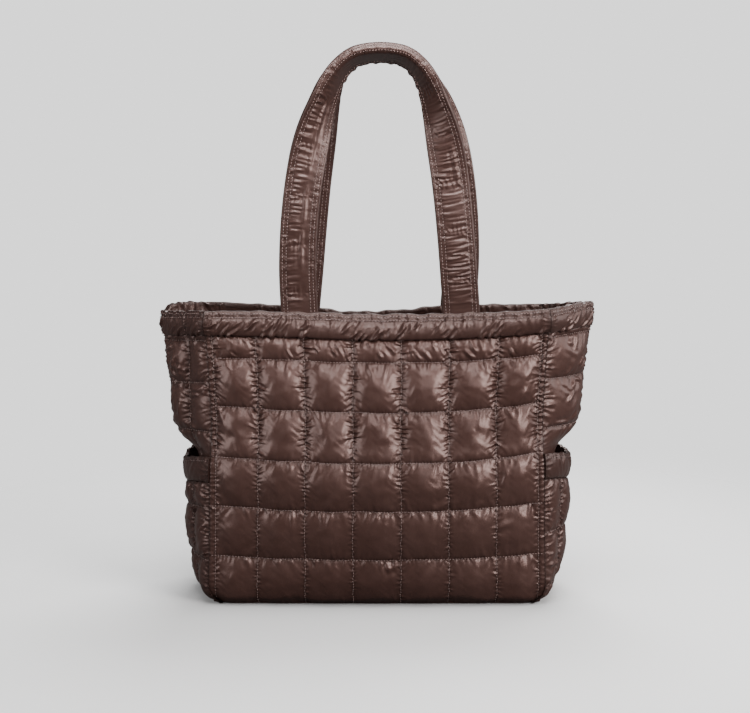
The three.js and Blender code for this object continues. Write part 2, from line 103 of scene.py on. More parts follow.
# A band's outer face from its seam up: shares of the band's height and of its bulge. The rim band's
# lower lip hangs over its seam.
BAND_PROFILE = stations(
    "rise out",
    (0, 0.03),
    (-0.05, 0.3),
    (-0.05, 0.55),
    (0.06, 0.76),
    (0.24, 0.92),
    (0.44, 1),
    (0.6, 0.96),
    (0.7, 0.82),
    (0.75, 0.68),
    (0.87, 0.64),
    (1, 0.42),
)
POCKET_BAND_PROFILE = stations("rise out", (0, 0.05), (0.12, 0.7), (0.5, 1), (0.85, 0.75), (1, 0.3))

# At heights on a big panel: how strongly it is gathered along its upright lines and its level ones, how
# shallow its upright lines lie, and how full its squares are.
RUCHES = stations(
    "rise upright level shallow swell",
    (0, 0.5, 0.9, 0.65, 0.72),
    (0.35, 0.5, 0.9, 0.6, 0.76),
    (0.55, 0.75, 0.85, 0.25, 0.95),
    (0.75, 1, 0.9, 0.0, 1),
    (1, 0.9, 1, 0.1, 1),
)

# Kinds of small folds that run off a stitched line, in millimetres: mean spacing, half width, length and
# height. Stray is how far their direction strays, and above is their height's share over a level line.
FOLDS = {
    "ruche": {"pitch": 4.0, "width": 1.05, "length": 6.0, "height": 2.2, "stray": 0.35, "above": 1},
    "tick": {"pitch": 3.0, "width": 0.85, "length": 2.8, "height": 1.1, "stray": 0.3, "above": 0.6},
    "pucker": {"pitch": 11.0, "width": 2.1, "length": 11.0, "height": 1.25, "stray": 0.55, "above": 0.45},
}

# The cloth of each material slot: how much of its colour it keeps, where the trim and the straps are painted
# darker as shade, and how strong its small creases are.
CLOTHS = {
    "shell": {"tone": 1.0, "crinkle": 0.2},
    "trim": {"tone": 0.8, "crinkle": 0.3},
    "strap": {"tone": 0.84, "crinkle": 0.13},
}


def number(name, description, default, **kind):
    return FloatProperty(name=name, description=description, default=default, **kind)


def length(name, description, default):
    """A size in millimetres as a property in metres."""
    return number(name, description, default * MM, unit="LENGTH", precision=4)


def angle(name, description, default):
    """An angle in degrees as a property in radians."""
    return number(name, description, math.radians(default), subtype="ANGLE")


def factor(name, description, default):
    return number(name, description, default, min=0, subtype="FACTOR")


def power(name, description, default):
    return number(name, description, default, min=0, unit="POWER")


def colour(name, description, default):
    return FloatVectorProperty(
        name=name, description=description, default=default, size=3, min=0, max=1, subtype="COLOR"
    )


class BodySizes(bpy.types.PropertyGroup):
    """Sizes of the bag's walls, rim and pockets."""

    height: length("Height", "Floor to the rim", 302)
    panel_width: length("Panel width", "A big panel between its side seams, at the rim", 350)
    gusset_width: length("Gusset width", "Cloth of one gusset between its seams", 132)
    fold_reach: length("Fold reach", "How far a gusset's middle fold stands out at the rim", 50)
    belly: length("Belly", "How far a big panel bows out at its fullest", 20)
    front_pinch: length("Front pinch", "How far the front of the rim is drawn in", 9)
    back_pinch: length("Back pinch", "How far the back of the rim is drawn in", 24)
    rim_wave: length("Rim wave", "Height of the rim's rise and sag", 8)
    row_lift: length("Row lift", "How far the quilting rows ride up at the corners", 6)
    puff: length("Puff", "How far a padded square of a big panel stands out", 8.4)
    gusset_puff: length("Gusset puff", "How far a padded square of a gusset stands out", 6.5)
    columns: IntProperty(name="Columns", description="Padded squares across a big panel", default=7, min=1)
    first_row: length("First row", "Height of the short row under the rim band", 24.5)
    row_pitch: length("Row pitch", "Height of a padded square", 50.5)
    gusset_row: length("Gusset row", "Height of a padded square of a gusset", 51)
    gusset_line: length("Gusset line", "Seam to the nearest upright line of a gusset", 25)
    band_height: length("Band height", "Height of the rim band", 24)
    band_puff: length("Band puff", "How far the rim band bulges", 9.5)
    fold_puff: length("Fold puff", "Its bulge where a gusset folds", 3)
    rim_thickness: length("Rim thickness", "The rim's edge with its facing", 8.4)
    rim_out: length("Rim out", "The part of that edge outside the wall's own surface", 3.6)
    pocket_top: length("Pocket top", "Floor to a pocket's mouth", 151)
    pocket_gap: length("Pocket gap", "Clear space behind a pocket", 0.8)
    pocket_band: length("Pocket band", "Height of the band on a pocket's mouth", 26)
    pocket_puff: length("Pocket puff", "How far a padded square of a pocket stands out", 5.5)
    pocket_band_puff: length("Pocket band puff", "How far that band bulges", 3.6)
    pocket_row: length("Pocket row", "Height of a padded square of a pocket", 53)
    pocket_first_row: length("Pocket first row", "The left pocket's short row under its band", 26)
    pocket_sag: length("Pocket sag", "How far the pocket's mouth hangs down at the fold", 7)
    pocket_gape: length("Pocket gape", "How far the gusset falls in behind an open pocket", 13)
    base_thickness: length("Base thickness", "The padded base", 6)


class StrapSizes(bpy.types.PropertyGroup):
    """Sizes of the two handles."""

    span: length("Span", "Between the middles of a handle's two feet", 166)
    rise: length("Rise", "Rim to the strap's middle at the top of the arch", 262)
    width: length("Width", "Across the strap", 36)
    edge: length("Edge", "Thickness at the stitched edges", 4.8)
    puff: length("Puff", "How far each face stands out of that", 1.5)
    foot_depth: length("Foot depth", "How deep a foot goes into the rim band", 17)
    shift: length("Shift", "How far right of the middle the feet lie", 3.5)
    lean: length("Lean", "From the middle plane to the strap's middle at the top", 20)
    curl: angle("Curl", "How far the front handle's outer edge folds back at the top", 85)
    curl_start: length("Curl start", "Where that fold starts, from the middle of the strap", 9.5)
    curl_round: length("Curl length", "How much of the width the fold takes", 3.5)
    twist: angle("Twist", "Turn of the strap on its way to the top", 72)
    front_rise: length("Front rise", "How much higher the front handle stands", -3)
    back_rise: length("Back rise", "How much higher the back handle stands", 7)
    line_pitch: length("Line pitch", "Between the quilting lines across a strap", 49)


class ClothFinish(bpy.types.PropertyGroup):
    """Colours and gloss of the cloth and thread."""

    # Deep is the colour that the cloth is painted towards along its seams, as painted shade.
    deep: colour("Deep", "Cloth in its folds", (0.03, 0.0125, 0.0098))
    plain: colour("Plain", "Cloth in the open", (0.08, 0.0385, 0.0315))
    # Pale is mixed in by random clouds over the cloth, not by where light falls.
    pale: colour("Pale", "Cloth that is rubbed and lit", (0.118, 0.064, 0.055))
    metal: factor("Metal", "Share of the gloss that takes the cloth's own colour", 0.33)
    shine: colour("Shine", "Tint of the gloss", (1.0, 0.84, 0.8))
    thread: colour("Thread", "Stitching", (0.24, 0.155, 0.14))
    roughness: factor("Roughness", "Of the cloth", 0.335)
    coat: factor("Coat", "Share of the cloth's own coating", 0.3)
    stitch_pitch: length("Stitch pitch", "From stitch to stitch", 3.1)
    stitch_width: length("Stitch width", "Thickness of the thread as it lies", 0.66)


class StageSetup(bpy.types.PropertyGroup):
    """Camera, floor and light."""

    lens: number("Lens", "Focal length in millimetres", 72, unit="CAMERA")
    distance: length("Distance", "Camera in front of the bag's middle", 1565)
    eye: length("Eye", "Camera over the floor", 467)
    pitch: angle("Pitch", "Camera's tilt down", 7.9)
    key: power("Key", "Softbox at the right", 33)
    top: power("Top", "Softbox overhead", 15)
    back: power("Back", "Softbox behind and above", 32)
    front: power("Front", "Softbox over the camera", 5)
    strip: power("Strip", "Strip over the handles", 0.9)
    side: power("Side", "Wide softbox far right", 10)
    fill: power("Fill", "Wide softbox far left", 12)
    backdrop: number("Backdrop", "Brightness behind the bag", 1.6)
    room: number("Room", "Brightness of the room that lights the bag", 0.16)
    floor: factor("Floor", "Share of the light that the floor gives back", 1.03)
    floor_glow: number("Floor glow", "Brightness that shadows can't take", 0.08)
    # The shadow painted into the floor's colour round the bag's foot: a close dark one and a wide faint one.
    contact: length("Contact", "How far the close shade at the bag's foot reaches", 24)
    contact_depth: factor("Contact depth", "How dark the close shade is", 0.42)
    shade_reach: length("Shade reach", "How far the wide shade round the bag reaches", 110)
    shade_depth: factor("Shade depth", "How dark the wide shade is", 0.13)


def sizes():
    return bpy.context.scene.tote_body


def strap_sizes():
    return bpy.context.scene.tote_straps


def finish_values():
    return bpy.context.scene.tote_finish


def stage_values():
    return bpy.context.scene.tote_stage


def ease(value, low, high):
    """0 up to low and 1 from high, with a soft step between them."""
    t = np.clip((np.asarray(value, float) - low) / (high - low), 0, 1)
    return t * t * (3 - 2 * t)


def mix(a, b, t):
    return a + (b - a) * t


def column(table, key, name, at):
    """Reads one column of a table of stations, with a soft curve between them."""
    keys = np.array([row[key] for row in table], float)
    values = np.array([row[name] for row in table], float)
    at = np.asarray(at, float)
    i = np.searchsorted(keys[1:-1], at, side="left")
    span = keys[i + 1] - keys[i]
    t = np.clip((at - keys[i]) / span, 0, 1)
    before = np.maximum(i - 1, 0)
    after = np.minimum(i + 2, len(keys) - 1)
    slope_in = np.where(i == 0, 0, (values[i + 1] - values[before]) / (keys[i + 1] - keys[before]) * span)
    slope_out = np.where(i + 2 > after, 0, (values[after] - values[i]) / (keys[after] - keys[i]) * span)
    t2, t3 = t * t, t * t * t
    return (
        values[i] * (2 * t3 - 3 * t2 + 1)
        + slope_in * (t3 - 2 * t2 + t)
        + values[i + 1] * (3 * t2 - 2 * t3)
        + slope_out * (t3 - t2)
    )


def unit(vectors):
    return vectors / np.maximum(np.linalg.norm(vectors, axis=-1, keepdims=True), 1e-12)


# Walls


def wall_point(loop, height):
    """Points of the walls' own surface at places round the bag and nominal heights."""
    s = sizes()
    loop, height = np.broadcast_arrays(np.asarray(loop, float), np.asarray(height, float))
    place = np.mod(loop, 4)
    side = np.floor(place)
    across = place - side
    rise = height / s.height
    half = s.panel_width / 2 * column(SECTIONS, "rise", "width", rise)
    fold = s.fold_reach * column(SECTIONS, "rise", "fold", rise)
    depth = np.sqrt((s.gusset_width / 2) ** 2 - fold**2)
    bow = 1 - (2 * across - 1) ** 2
    pinch = np.where(side == FRONT, s.front_pinch, s.back_pinch) * column(SECTIONS, "rise", "pinch", rise)
    belly = (s.belly * column(SECTIONS, "rise", "belly", rise) - pinch) * bow
    sharpness = mix(2.3, 1.12, ease(rise, 0.3, 0.95))
    reach = half + fold * (1 - np.abs(2 * across - 1) ** sharpness)
    wave = s.rim_wave * column(STATIONS, "at", "rim", place) * ease(rise, 0.2, 1)
    lift = s.row_lift * column(STATIONS, "at", "row", place) * np.sin(np.pi * np.clip(rise, 0, 1))
    walls = [side == FRONT, side == RIGHT, side == BACK]
    x = np.select(walls, [mix(-half, half, across), reach, mix(half, -half, across)], -reach)
    y_ends = mix(-depth, depth, across)
    y = np.select(walls, [-depth - belly, y_ends, depth + belly], -y_ends)
    return np.stack([x, y, height + wave + lift], -1)


def wall_outward(loop, height):
    """The level direction out of the wall, shared by two pieces that meet at a seam."""
    step = 0.004
    here = wall_point(loop, height)
    back = here - wall_point(np.asarray(loop) - step, height)
    ahead = wall_point(np.asarray(loop) + step, height) - here
    back[..., 2] = ahead[..., 2] = 0
    along = unit(back) + unit(ahead)
    return unit(np.stack([along[..., 1], -along[..., 0], np.zeros(along.shape[:-1])], -1))


def off_wall(side, across, height, out):
    """The wall's surface moved out. A piece keeps half the seam gap clear at its two ends."""
    across, height, out = np.broadcast_arrays(across, height, out)
    loop = side + np.clip(across, 0, 1)
    outward = wall_outward(loop, height)
    along = np.stack([-outward[..., 1], outward[..., 0], outward[..., 2]], -1)
    at_end = 1e-6
    keep = (across <= at_end) * 1.0 - (across >= 1 - at_end) * 1.0
    return wall_point(loop, height) + outward * out[..., None] + along * (keep * SEAM_GAP / 2)[..., None]


def from_seam(side, across):
    """How far places on a wall lie from its nearer side seam."""
    s = sizes()
    width = np.where(np.asarray(side) % 2 == FRONT, s.panel_width, s.gusset_width)
    return np.minimum(across, 1 - across) * width


def seam_raise(side, across, height):
    """How far a wall's cloth stands out at its side seams, where it meets the next wall or a pocket."""
    s = sizes()
    beside_pocket, above_pocket = s.pocket_gap + SEAM_THICKNESS, 1 * MM
    edge = mix(beside_pocket, above_pocket, ease(height, s.pocket_top - 12 * MM, s.pocket_top + 6 * MM))
    return edge * (1 - ease(from_seam(side, across), 0, 14 * MM)) * ease(height, WALL_FOOT, 30 * MM)


def roll_under(side, across, height):
    """How far the walls' cloth turns in under the bag at its foot. It turns in from higher up in some
    places than in others, and more at the corners."""
    around = 2 * np.pi * (side + np.clip(across, 0, 1)) / 4
    unevenness = np.sin(7 * around) + np.sin(17 * around + 1) + np.sin(31 * around + 2)
    top = 11 * MM + 1.6 * MM * unevenness
    corner = (1 - ease(from_seam(side, across), 0, 18 * MM)) * (1 - ease(height, WALL_FOOT, 20 * MM))
    return 5.5 * MM * (1 - ease(height, WALL_FOOT, top)) ** 1.5 + 5 * MM * corner


def row_lines(low, high, first, pitch):
    """Heights of the level stitched lines over a wall's low edge: a first row under its high edge, then
    even rows."""
    lines = []
    at = high - first
    while at > low + pitch / 3:
        lines.append(at - low)
        at -= pitch
    return lines[::-1]


# Padded cloth


def sheet_grid(columns, rows):
    """A new grid of faces, and the column and row that each of its points belongs to."""
    bpy.ops.object.select_all(action="DESELECT")
    bpy.ops.mesh.primitive_grid_add(x_subdivisions=columns, y_subdivisions=rows, size=1)
    grid = bpy.context.object
    points = np.empty(len(grid.data.vertices) * 3)
    grid.data.vertices.foreach_get("co", points)
    points = points.reshape(-1, 3)
    i = np.rint((points[:, 0] + 0.5) * columns).astype(int)
    j = np.rint((points[:, 1] + 0.5) * rows).astype(int)
    return grid, i, j


def set_points(piece, points):
    piece.data.vertices.foreach_set("co", np.asarray(points, np.float32).ravel())
    piece.data.update()


def ticks(total, lines, pitch):
    """Places along a sheet about a pitch apart that take in every line, and which of them are lines."""
    places, marks = [0.0], [0]
    stops = sorted({0.0, *lines, total})
    for low, high in zip(stops, stops[1:]):
        count = max(2, round((high - low) / pitch))
        places.extend(low + (high - low) * np.arange(1, count + 1) / count)
        marks.append(len(places) - 1)
    return np.array(places), marks


def smooth_noise(rng, shape, rounds):
    """Random numbers from -1 to 1 over a grid, each mixed with its neighbours several times."""
    noise = rng.normal(0, 1, shape)
    for _ in range(rounds):
        noise = (noise + np.roll(noise, 1, 0) + np.roll(noise, -1, 0)) / 3
        noise = (noise + np.roll(noise, 1, 1) + np.roll(noise, -1, 1)) / 3
    return noise / max(np.abs(noise).max(), 1e-9)


def sheet_cut(width, height, uprights, levels, seed, puff, **more):
    """The flat sheet that a padded piece is swollen from: its stitched lines, its cloth and its folds."""
    cut = {
        "width": width, "height": height, "seed": seed, "puff": puff, "pitch": 2.3 * MM,
        "uprights": [0.0, *uprights, width], "levels": [0.0, *levels, height],
        "slack": (0.09, 0.17), "skew": 0.0, "pressure": 60.0, "stiffness": 30.0, "bending": 2.5,
        "frames": 30, "soft": 0.5, "gathers": 1, "ruches": None, "crumples": [], "mirror": False,
    }
    cut.update(more)
    return cut


def crumples(count, long, width, height, angle, spread, **part):
    """Free folds of a sheet, in millimetres: how many, their length, half width and height, then their
    direction, how far it strays, and the part of the sheet where they lie."""
    return {"count": count, "long": long * MM, "width": width * MM, "height": height * MM,
            "angle": angle, "spread": spread, **part}


def swell(cut):
    """A flat sheet of cloth that is stitched down on its lines and blown up between them by its
    filling. It returns where each point of the sheet goes: two places in the sheet and its height."""
    xs, x_marks = ticks(cut["width"], cut["uprights"], cut["pitch"])
    ys, y_marks = ticks(cut["height"], cut["levels"], cut["pitch"])
    rng = np.random.default_rng(cut["seed"])
    flat = np.stack([*np.meshgrid(xs, ys, indexing="ij"), np.zeros((len(xs), len(ys)))], -1)
    sewn = np.zeros(flat.shape[:2], bool)
    sewn[x_marks, :] = True
    sewn[:, y_marks] = True
    start, uneven = 0.6 * MM, 1.2 * MM
    flat[..., 2] = np.where(sewn, 0, start + uneven * smooth_noise(rng, sewn.shape, 2))
    # The solver is steadier on cloth ten times as large.
    scale = 10
    sheet, i, j = sheet_grid(len(xs) - 1, len(ys) - 1)
    set_points(sheet, flat[i, j] * scale)
    sheet.shape_key_add(name="Basis")
    cut_shape = sheet.shape_key_add(name="Cut")
    rest = flat[i, j] * scale
    rest[:, 0] += cut["slack"][0] * rest[:, 0] + cut["skew"] * rest[:, 1]
    rest[:, 1] += cut["slack"][1] * rest[:, 1]
    cut_shape.data.foreach_set("co", rest.astype(np.float32).ravel())
    stitched = sheet.vertex_groups.new(name="Stitched")
    stitched.add(np.nonzero(sewn[i, j])[0].tolist(), 1, "REPLACE")
    cloth = sheet.modifiers.new("Cloth", "CLOTH")
    cloth.collision_settings.use_collision = False
    cloth.point_cache.frame_end = cut["frames"]
    settings = cloth.settings
    settings.quality = 4
    settings.mass = 0.3
    settings.tension_stiffness = settings.compression_stiffness = cut["stiffness"]
    settings.shear_stiffness = cut["stiffness"] / 2
    settings.bending_stiffness = cut["bending"]
    settings.air_damping = 2
    settings.use_pressure = True
    settings.uniform_pressure_force = cut["pressure"]
    settings.vertex_group_mass = stitched.name
    settings.rest_shape_key = cut_shape
    settings.effector_weights.gravity = 0
    for at in range(1, cut["frames"] + 1):
        bpy.context.scene.frame_set(at)
    bpy.ops.object.convert(target="MESH")
    sheet = bpy.context.object
    points = np.empty(len(sheet.data.vertices) * 3)
    sheet.data.vertices.foreach_get("co", points)
    bpy.data.objects.remove(sheet)
    blown = np.empty(flat.shape)
    blown[i, j] = points.reshape(-1, 3) / scale
    blown[..., 2] = np.maximum(blown[..., 2], 0)
    return blown


def refine(values, axis):
    """One subdivision along an axis: a new row between each two, on a smooth curve through them."""
    rows = np.moveaxis(values, axis, 0)
    padded = np.concatenate([2 * rows[:1] - rows[1:2], rows, 2 * rows[-1:] - rows[-2:-1]])
    middle = (9 * (padded[1:-2] + padded[2:-1]) - padded[:-3] - padded[3:]) / 16
    fine = np.empty((2 * len(rows) - 1, *rows.shape[1:]))
    fine[::2] = rows
    fine[1::2] = middle
    return np.moveaxis(fine, 0, axis)


def cell_shares(places, marks):
    """Where each place lies between the two stitched lines beside it, from 0 to 1."""
    stops = places[marks]
    k = np.clip(np.searchsorted(stops, places, side="right") - 1, 0, len(stops) - 2)
    return np.clip((places - stops[k]) / (stops[k + 1] - stops[k]), 0, 1)


def cell_sizes(places, lines):
    """The size, at each place, of the cell between the two stitched lines beside it."""
    stops = np.array(lines)
    k = np.clip(np.searchsorted(stops, places, side="right") - 1, 0, len(stops) - 2)
    return stops[k + 1] - stops[k]


def padded_sheet(cut):
    """The swollen sheet with one subdivision each way, softened towards plain pillows, with its height
    set to the padding's and the small folds that its stitches draw."""
    full_cell, narrow_cell = 38 * MM, 10 * MM
    edge_round, lowest = 0.9 * MM, -0.35 * MM
    xs, x_marks = ticks(cut["width"], cut["uprights"], cut["pitch"])
    ys, y_marks = ticks(cut["height"], cut["levels"], cut["pitch"])
    blown = refine(refine(swell(cut), 0), 1)
    xs, ys = refine(xs, 0), refine(ys, 0)
    relief = np.maximum(blown[..., 2], 0) / np.percentile(blown[..., 2], 97)
    u = cell_shares(xs, [2 * k for k in x_marks])
    v = cell_shares(ys, [2 * k for k in y_marks])
    level_pillow = np.sin(np.pi * v**1.12) ** 0.7
    pillow = np.outer(np.sin(np.pi * u) ** 0.85, 0.3 + 0.7 * level_pillow)
    small = np.minimum(cell_sizes(xs, cut["uprights"])[:, None], cell_sizes(ys, cut["levels"])[None, :])
    pillow *= np.clip(small / full_cell, 0.04, 1)
    rng = np.random.default_rng(cut["seed"] + 50)
    slow = smooth_noise(rng, relief.shape, 14)
    relief = mix(relief, pillow, cut["soft"]) * np.clip(small / narrow_cell, 0.25, 1)
    if cut["ruches"]:
        rise = ys / cut["height"]
        shallow = column(cut["ruches"], "rise", "shallow", rise)[None, :]
        inside = (ease(xs, 8 * MM, 26 * MM) * ease(cut["width"] - xs, 8 * MM, 26 * MM))[:, None]
        relief = mix(relief, np.maximum(relief, 0.85 * level_pillow[None, :]), shallow * inside)
        relief *= column(cut["ruches"], "rise", "swell", rise)[None, :]
    relief = cut["puff"] * relief * (1 + 0.16 * slow)
    folds = np.zeros_like(relief)
    gather(xs, ys, folds, cut, rng)
    for crumple in cut["crumples"]:
        crumple_sheet(xs, ys, folds, rng, **crumple)
    border = np.minimum(
        np.minimum(xs, cut["width"] - xs)[:, None], np.minimum(ys, cut["height"] - ys)[None, :]
    )
    blown[..., 2] = np.maximum(relief + folds, lowest) * (1 - np.exp(-border / edge_round))
    return blown


def read_sheet(blown, x, y):
    """The height of a swollen sheet at places in it."""
    xs, ys = blown[:, 0, 0], blown[0, :, 1]
    i = np.clip(np.searchsorted(xs, x) - 1, 0, len(xs) - 2)
    j = np.clip(np.searchsorted(ys, y) - 1, 0, len(ys) - 2)
    a = np.clip((x - xs[i]) / (xs[i + 1] - xs[i]), 0, 1)
    b = np.clip((y - ys[j]) / (ys[j + 1] - ys[j]), 0, 1)
    z = blown[..., 2]
    return mix(mix(z[i, j], z[i + 1, j], a), mix(z[i, j + 1], z[i + 1, j + 1], a), b)


def crease(xs, ys, folds, start, toward, long, width, height, sewn=True):
    """Adds one small fold to a sheet. A sewn one grows from its start and dies away over its length,
    and a free one dies away at both ends."""
    stop = start + toward * long * 2
    low = np.minimum(start, stop) - 3 * width
    high = np.maximum(start, stop) + 3 * width
    i0, i1 = np.searchsorted(xs, [low[0], high[0]])
    j0, j1 = np.searchsorted(ys, [low[1], high[1]])
    dx = xs[i0:i1, None] - start[0]
    dy = ys[None, j0:j1] - start[1]
    u = dx * toward[0] + dy * toward[1]
    v = np.abs(dy * toward[0] - dx * toward[1]) / width
    ridge = np.exp(-v * v) - 0.6 * np.exp(-((v - 1.8) ** 2))
    if sewn:
        onset, behind = 1.3 * MM, 0.7 * MM
        along = (1 - 0.75 * np.exp(-np.maximum(u, 0) / onset)) * np.exp(-((np.maximum(u, 0) / long) ** 2))
        along = along * np.where(u < 0, np.exp(-((u / behind) ** 2)), 1)
    else:
        along = np.exp(-(((u - long) / long) ** 4) * 1.5)
    folds[i0:i1, j0:j1] += height * ridge * along


def gather(xs, ys, folds, cut, rng):
    """Adds the small folds on both sides of each stitched line of a sheet. Beside an upright line they
    fan out from the middle of each cell, up above it and down below it."""
    ruches = cut["ruches"]
    levels = np.array(cut["levels"])
    jobs = [("ruche", line, True) for line in cut["uprights"]]
    jobs += [(kind, line, False) for line in cut["levels"] for kind in ("tick", "pucker")]
    for kind, line, upright in jobs:
        fold = FOLDS[kind]
        extent = cut["height"] if upright else cut["width"]
        count = int(extent / (fold["pitch"] * MM))
        for side in (-1, 1):
            for k, draws in enumerate(rng.uniform(0, 1, (count, 5))):
                at = (k + 0.15 + 0.7 * draws[0]) * extent / count
                tall = fold["height"] * MM * (0.35 + 0.9 * draws[1]) * cut["gathers"]
                long = fold["length"] * MM * (0.5 + 0.9 * draws[2] ** 1.5)
                stray = fold["stray"] * (2 * draws[3] - 1)
                broad = fold["width"] * MM * (0.8 + 0.5 * draws[4])
                if ruches:
                    rise = (at if upright else line) / cut["height"]
                    strength = float(column(ruches, "rise", "upright" if upright else "level", rise))
                    tall *= strength
                    long *= 0.2 + 0.8 * strength if upright else 1
                if upright:
                    cell = np.clip(np.searchsorted(levels, at) - 1, 0, len(levels) - 2)
                    share_up = (at - levels[cell]) / (levels[cell + 1] - levels[cell])
                    start, toward = np.array([line, at]), np.array([side, 2.1 * (share_up - 0.5) + stray])
                else:
                    start, toward = np.array([at, line]), np.array([stray, side])
                    tall *= fold["above"] if side > 0 else 1
                crease(xs, ys, folds, start, toward / np.hypot(*toward), long, broad, tall)


def crumple_sheet(xs, ys, folds, rng, count, long, width, height, angle, spread, low=0.0, high=1.0,
                  left=0.0, right=1.0):
    """Adds free folds at random places in a part of a sheet, about one direction."""
    for _ in range(count):
        turn = angle + spread * rng.uniform(-1, 1)
        toward = np.array([math.cos(turn), math.sin(turn)])
        half = long * rng.uniform(0.5, 1.3)
        middle = np.array([rng.uniform(left, right) * xs[-1], rng.uniform(low, high) * ys[-1]])
        broad = width * rng.uniform(0.7, 1.3)
        tall = height * rng.uniform(0.4, 1.2) * rng.choice([-0.6, 1, 1])
        crease(xs, ys, folds, middle - toward * half, toward, half, broad, tall, sewn=False)


def wobble(x, y, seed, size=0.7 * MM, wriggle=0.4 * MM):
    """How far the stitched lines stray from straight: two slow waves, and a quick one that the gathers
    pull into them."""
    a = np.sin(x * 71 + seed) + np.sin(y * 93 + 2.1 * seed) + np.sin((x + y) * 44 + 0.7 * seed)
    b = np.sin(y * 66 + 1.3 * seed) + np.sin(x * 101 + 0.4 * seed) + np.sin((x - y) * 52 + seed)
    quick = np.sin(y * 640 + 3 * np.sin(y * 95 + x * 300)) * wriggle
    return size * a / 3 + quick, size * b / 3


def closed_piece(name, rings, flats):
    """A closed body from a grid of points whose last row comes back to its first: the grid is rolled
    up, its two open ends are filled, and its faces are turned outwards."""
    columns, rows = rings.shape[0] - 1, rings.shape[1] - 1
    piece, i, j = sheet_grid(columns, rows)
    piece.name = piece.data.name = name
    set_points(piece, rings[i, j])
    corners = np.empty(len(piece.data.loops), int)
    piece.data.loops.foreach_get("vertex_index", corners)
    layer = piece.data.uv_layers.active
    layer.name = "Cloth"
    layer.data.foreach_set("uv", flats[i, j][corners].astype(np.float32).ravel())
    bpy.ops.object.mode_set(mode="EDIT")
    bpy.ops.mesh.select_all(action="SELECT")
    bpy.ops.mesh.remove_doubles(threshold=0.01 * MM)
    bpy.ops.mesh.select_all(action="DESELECT")
    bpy.ops.mesh.select_mode(type="EDGE")
    bpy.ops.mesh.select_non_manifold()
    bpy.ops.mesh.fill_holes(sides=0)
    bpy.ops.mesh.select_mode(type="VERT")
    bpy.ops.mesh.select_all(action="SELECT")
    bpy.ops.mesh.normals_make_consistent(inside=False)
    bpy.ops.mesh.select_all(action="DESELECT")
    bpy.ops.object.mode_set(mode="OBJECT")
    bpy.ops.object.shade_smooth_by_angle(angle=math.radians(50))
    return piece


def give_sewn(piece, places, values):
    """Stores how near each point is to stitching, read from the closest of the given places. It is the mask
    of the shade painted darker into the cloth's colour along its seams.
    """
    values = values.ravel()
    tree = KDTree(len(values))
    for index, place in enumerate(places.reshape(-1, 3)):
        tree.insert(place, index)
    tree.balance()
    near = np.array([values[tree.find(v.co)[1]] for v in piece.data.vertices], np.float32)
    piece.data.attributes.new("Sewn", "FLOAT", "POINT").data.foreach_set("value", near)


def off_edges(cut, x, y):
    """0 at a sheet's edges and 1 inside, where its stitched lines may stray."""
    fade = 12 * MM
    sides = ease(x, 0, fade) * ease(cut["width"] - x, 0, fade)
    return sides * ease(y, 0, fade) * ease(cut["height"] - y, 0, fade)


def line_distance(cut, blown):
    """How far each point of a sheet lies from its nearest stitched line."""
    aside = np.min([np.abs(blown[..., 0] - line) for line in cut["uprights"]], 0)
    return np.minimum(aside, np.min([np.abs(blown[..., 1] - line) for line in cut["levels"]], 0))


def quilted_body(name, side, cut, place_outer, place_inner, lining_rows):
    """A padded wall and its swollen sheet: the outer cloth, then the inner cloth, joined round all four
    edges."""
    blown = sheet = padded_sheet(cut)
    dx, dy = wobble(blown[..., 0], blown[..., 1], cut["seed"])
    inside = off_edges(cut, blown[..., 0], blown[..., 1])
    x = np.clip(blown[..., 0] + dx * inside, 0, cut["width"])
    y = np.clip(blown[..., 1] + dy * inside, 0, cut["height"])
    if cut["mirror"]:
        x, y, blown = cut["width"] - x[::-1], y[::-1], blown[::-1]
    outer = place_outer(side, x / cut["width"], WALL_FOOT + y, blown[..., 2])
    u = np.repeat(x[:, :1] / cut["width"], lining_rows, 1)
    v = np.repeat((cut["height"] * np.linspace(1, 0, lining_rows))[None, :], len(u), 0)
    inner = place_inner(side, u, WALL_FOOT + v)
    rings = np.concatenate([outer, inner, outer[:, :1]], 1)
    flats = [np.stack([x, y], -1), np.stack([u * cut["width"], v], -1), np.stack([x[:, :1], y[:, :1]], -1)]
    piece = closed_piece(name, rings, np.concatenate(flats, 1))
    # The mask of the shade painted into the cloth's colour along its stitched lines.
    give_sewn(piece, outer[::2], np.exp(-line_distance(cut, blown) / (2.2 * MM))[::2])
    return piece, sheet


# Thread

_stitch = {}


def stitch_shape():
    """One stitch lying along X: the points and faces of a small long bead."""
    if not _stitch:
        bpy.ops.object.select_all(action="DESELECT")
        bpy.ops.mesh.primitive_uv_sphere_add(segments=4, ring_count=4, radius=1)
        bead = bpy.context.object
        bpy.ops.object.mode_set(mode="EDIT")
        bpy.ops.mesh.select_all(action="SELECT")
        bpy.ops.transform.rotate(value=math.pi / 2, orient_axis="Y", center_override=(0, 0, 0))
        bpy.ops.object.mode_set(mode="OBJECT")
        _stitch["points"] = np.array([v.co for v in bead.data.vertices])
        _stitch["faces"] = [tuple(p.vertices) for p in bead.data.polygons]
        bpy.data.objects.remove(bead)
    return _stitch["points"], _stitch["faces"]


def read_line(line, at, where):
    """Points or directions along a line at some distances, from their list at the distances given."""
    return np.stack([np.interp(where, at, line[:, k]) for k in range(3)], -1)


def line_lengths(line):
    """The distance along a line of each of its points."""
    return np.concatenate([[0], np.cumsum(np.linalg.norm(np.diff(line, axis=0), axis=1))])


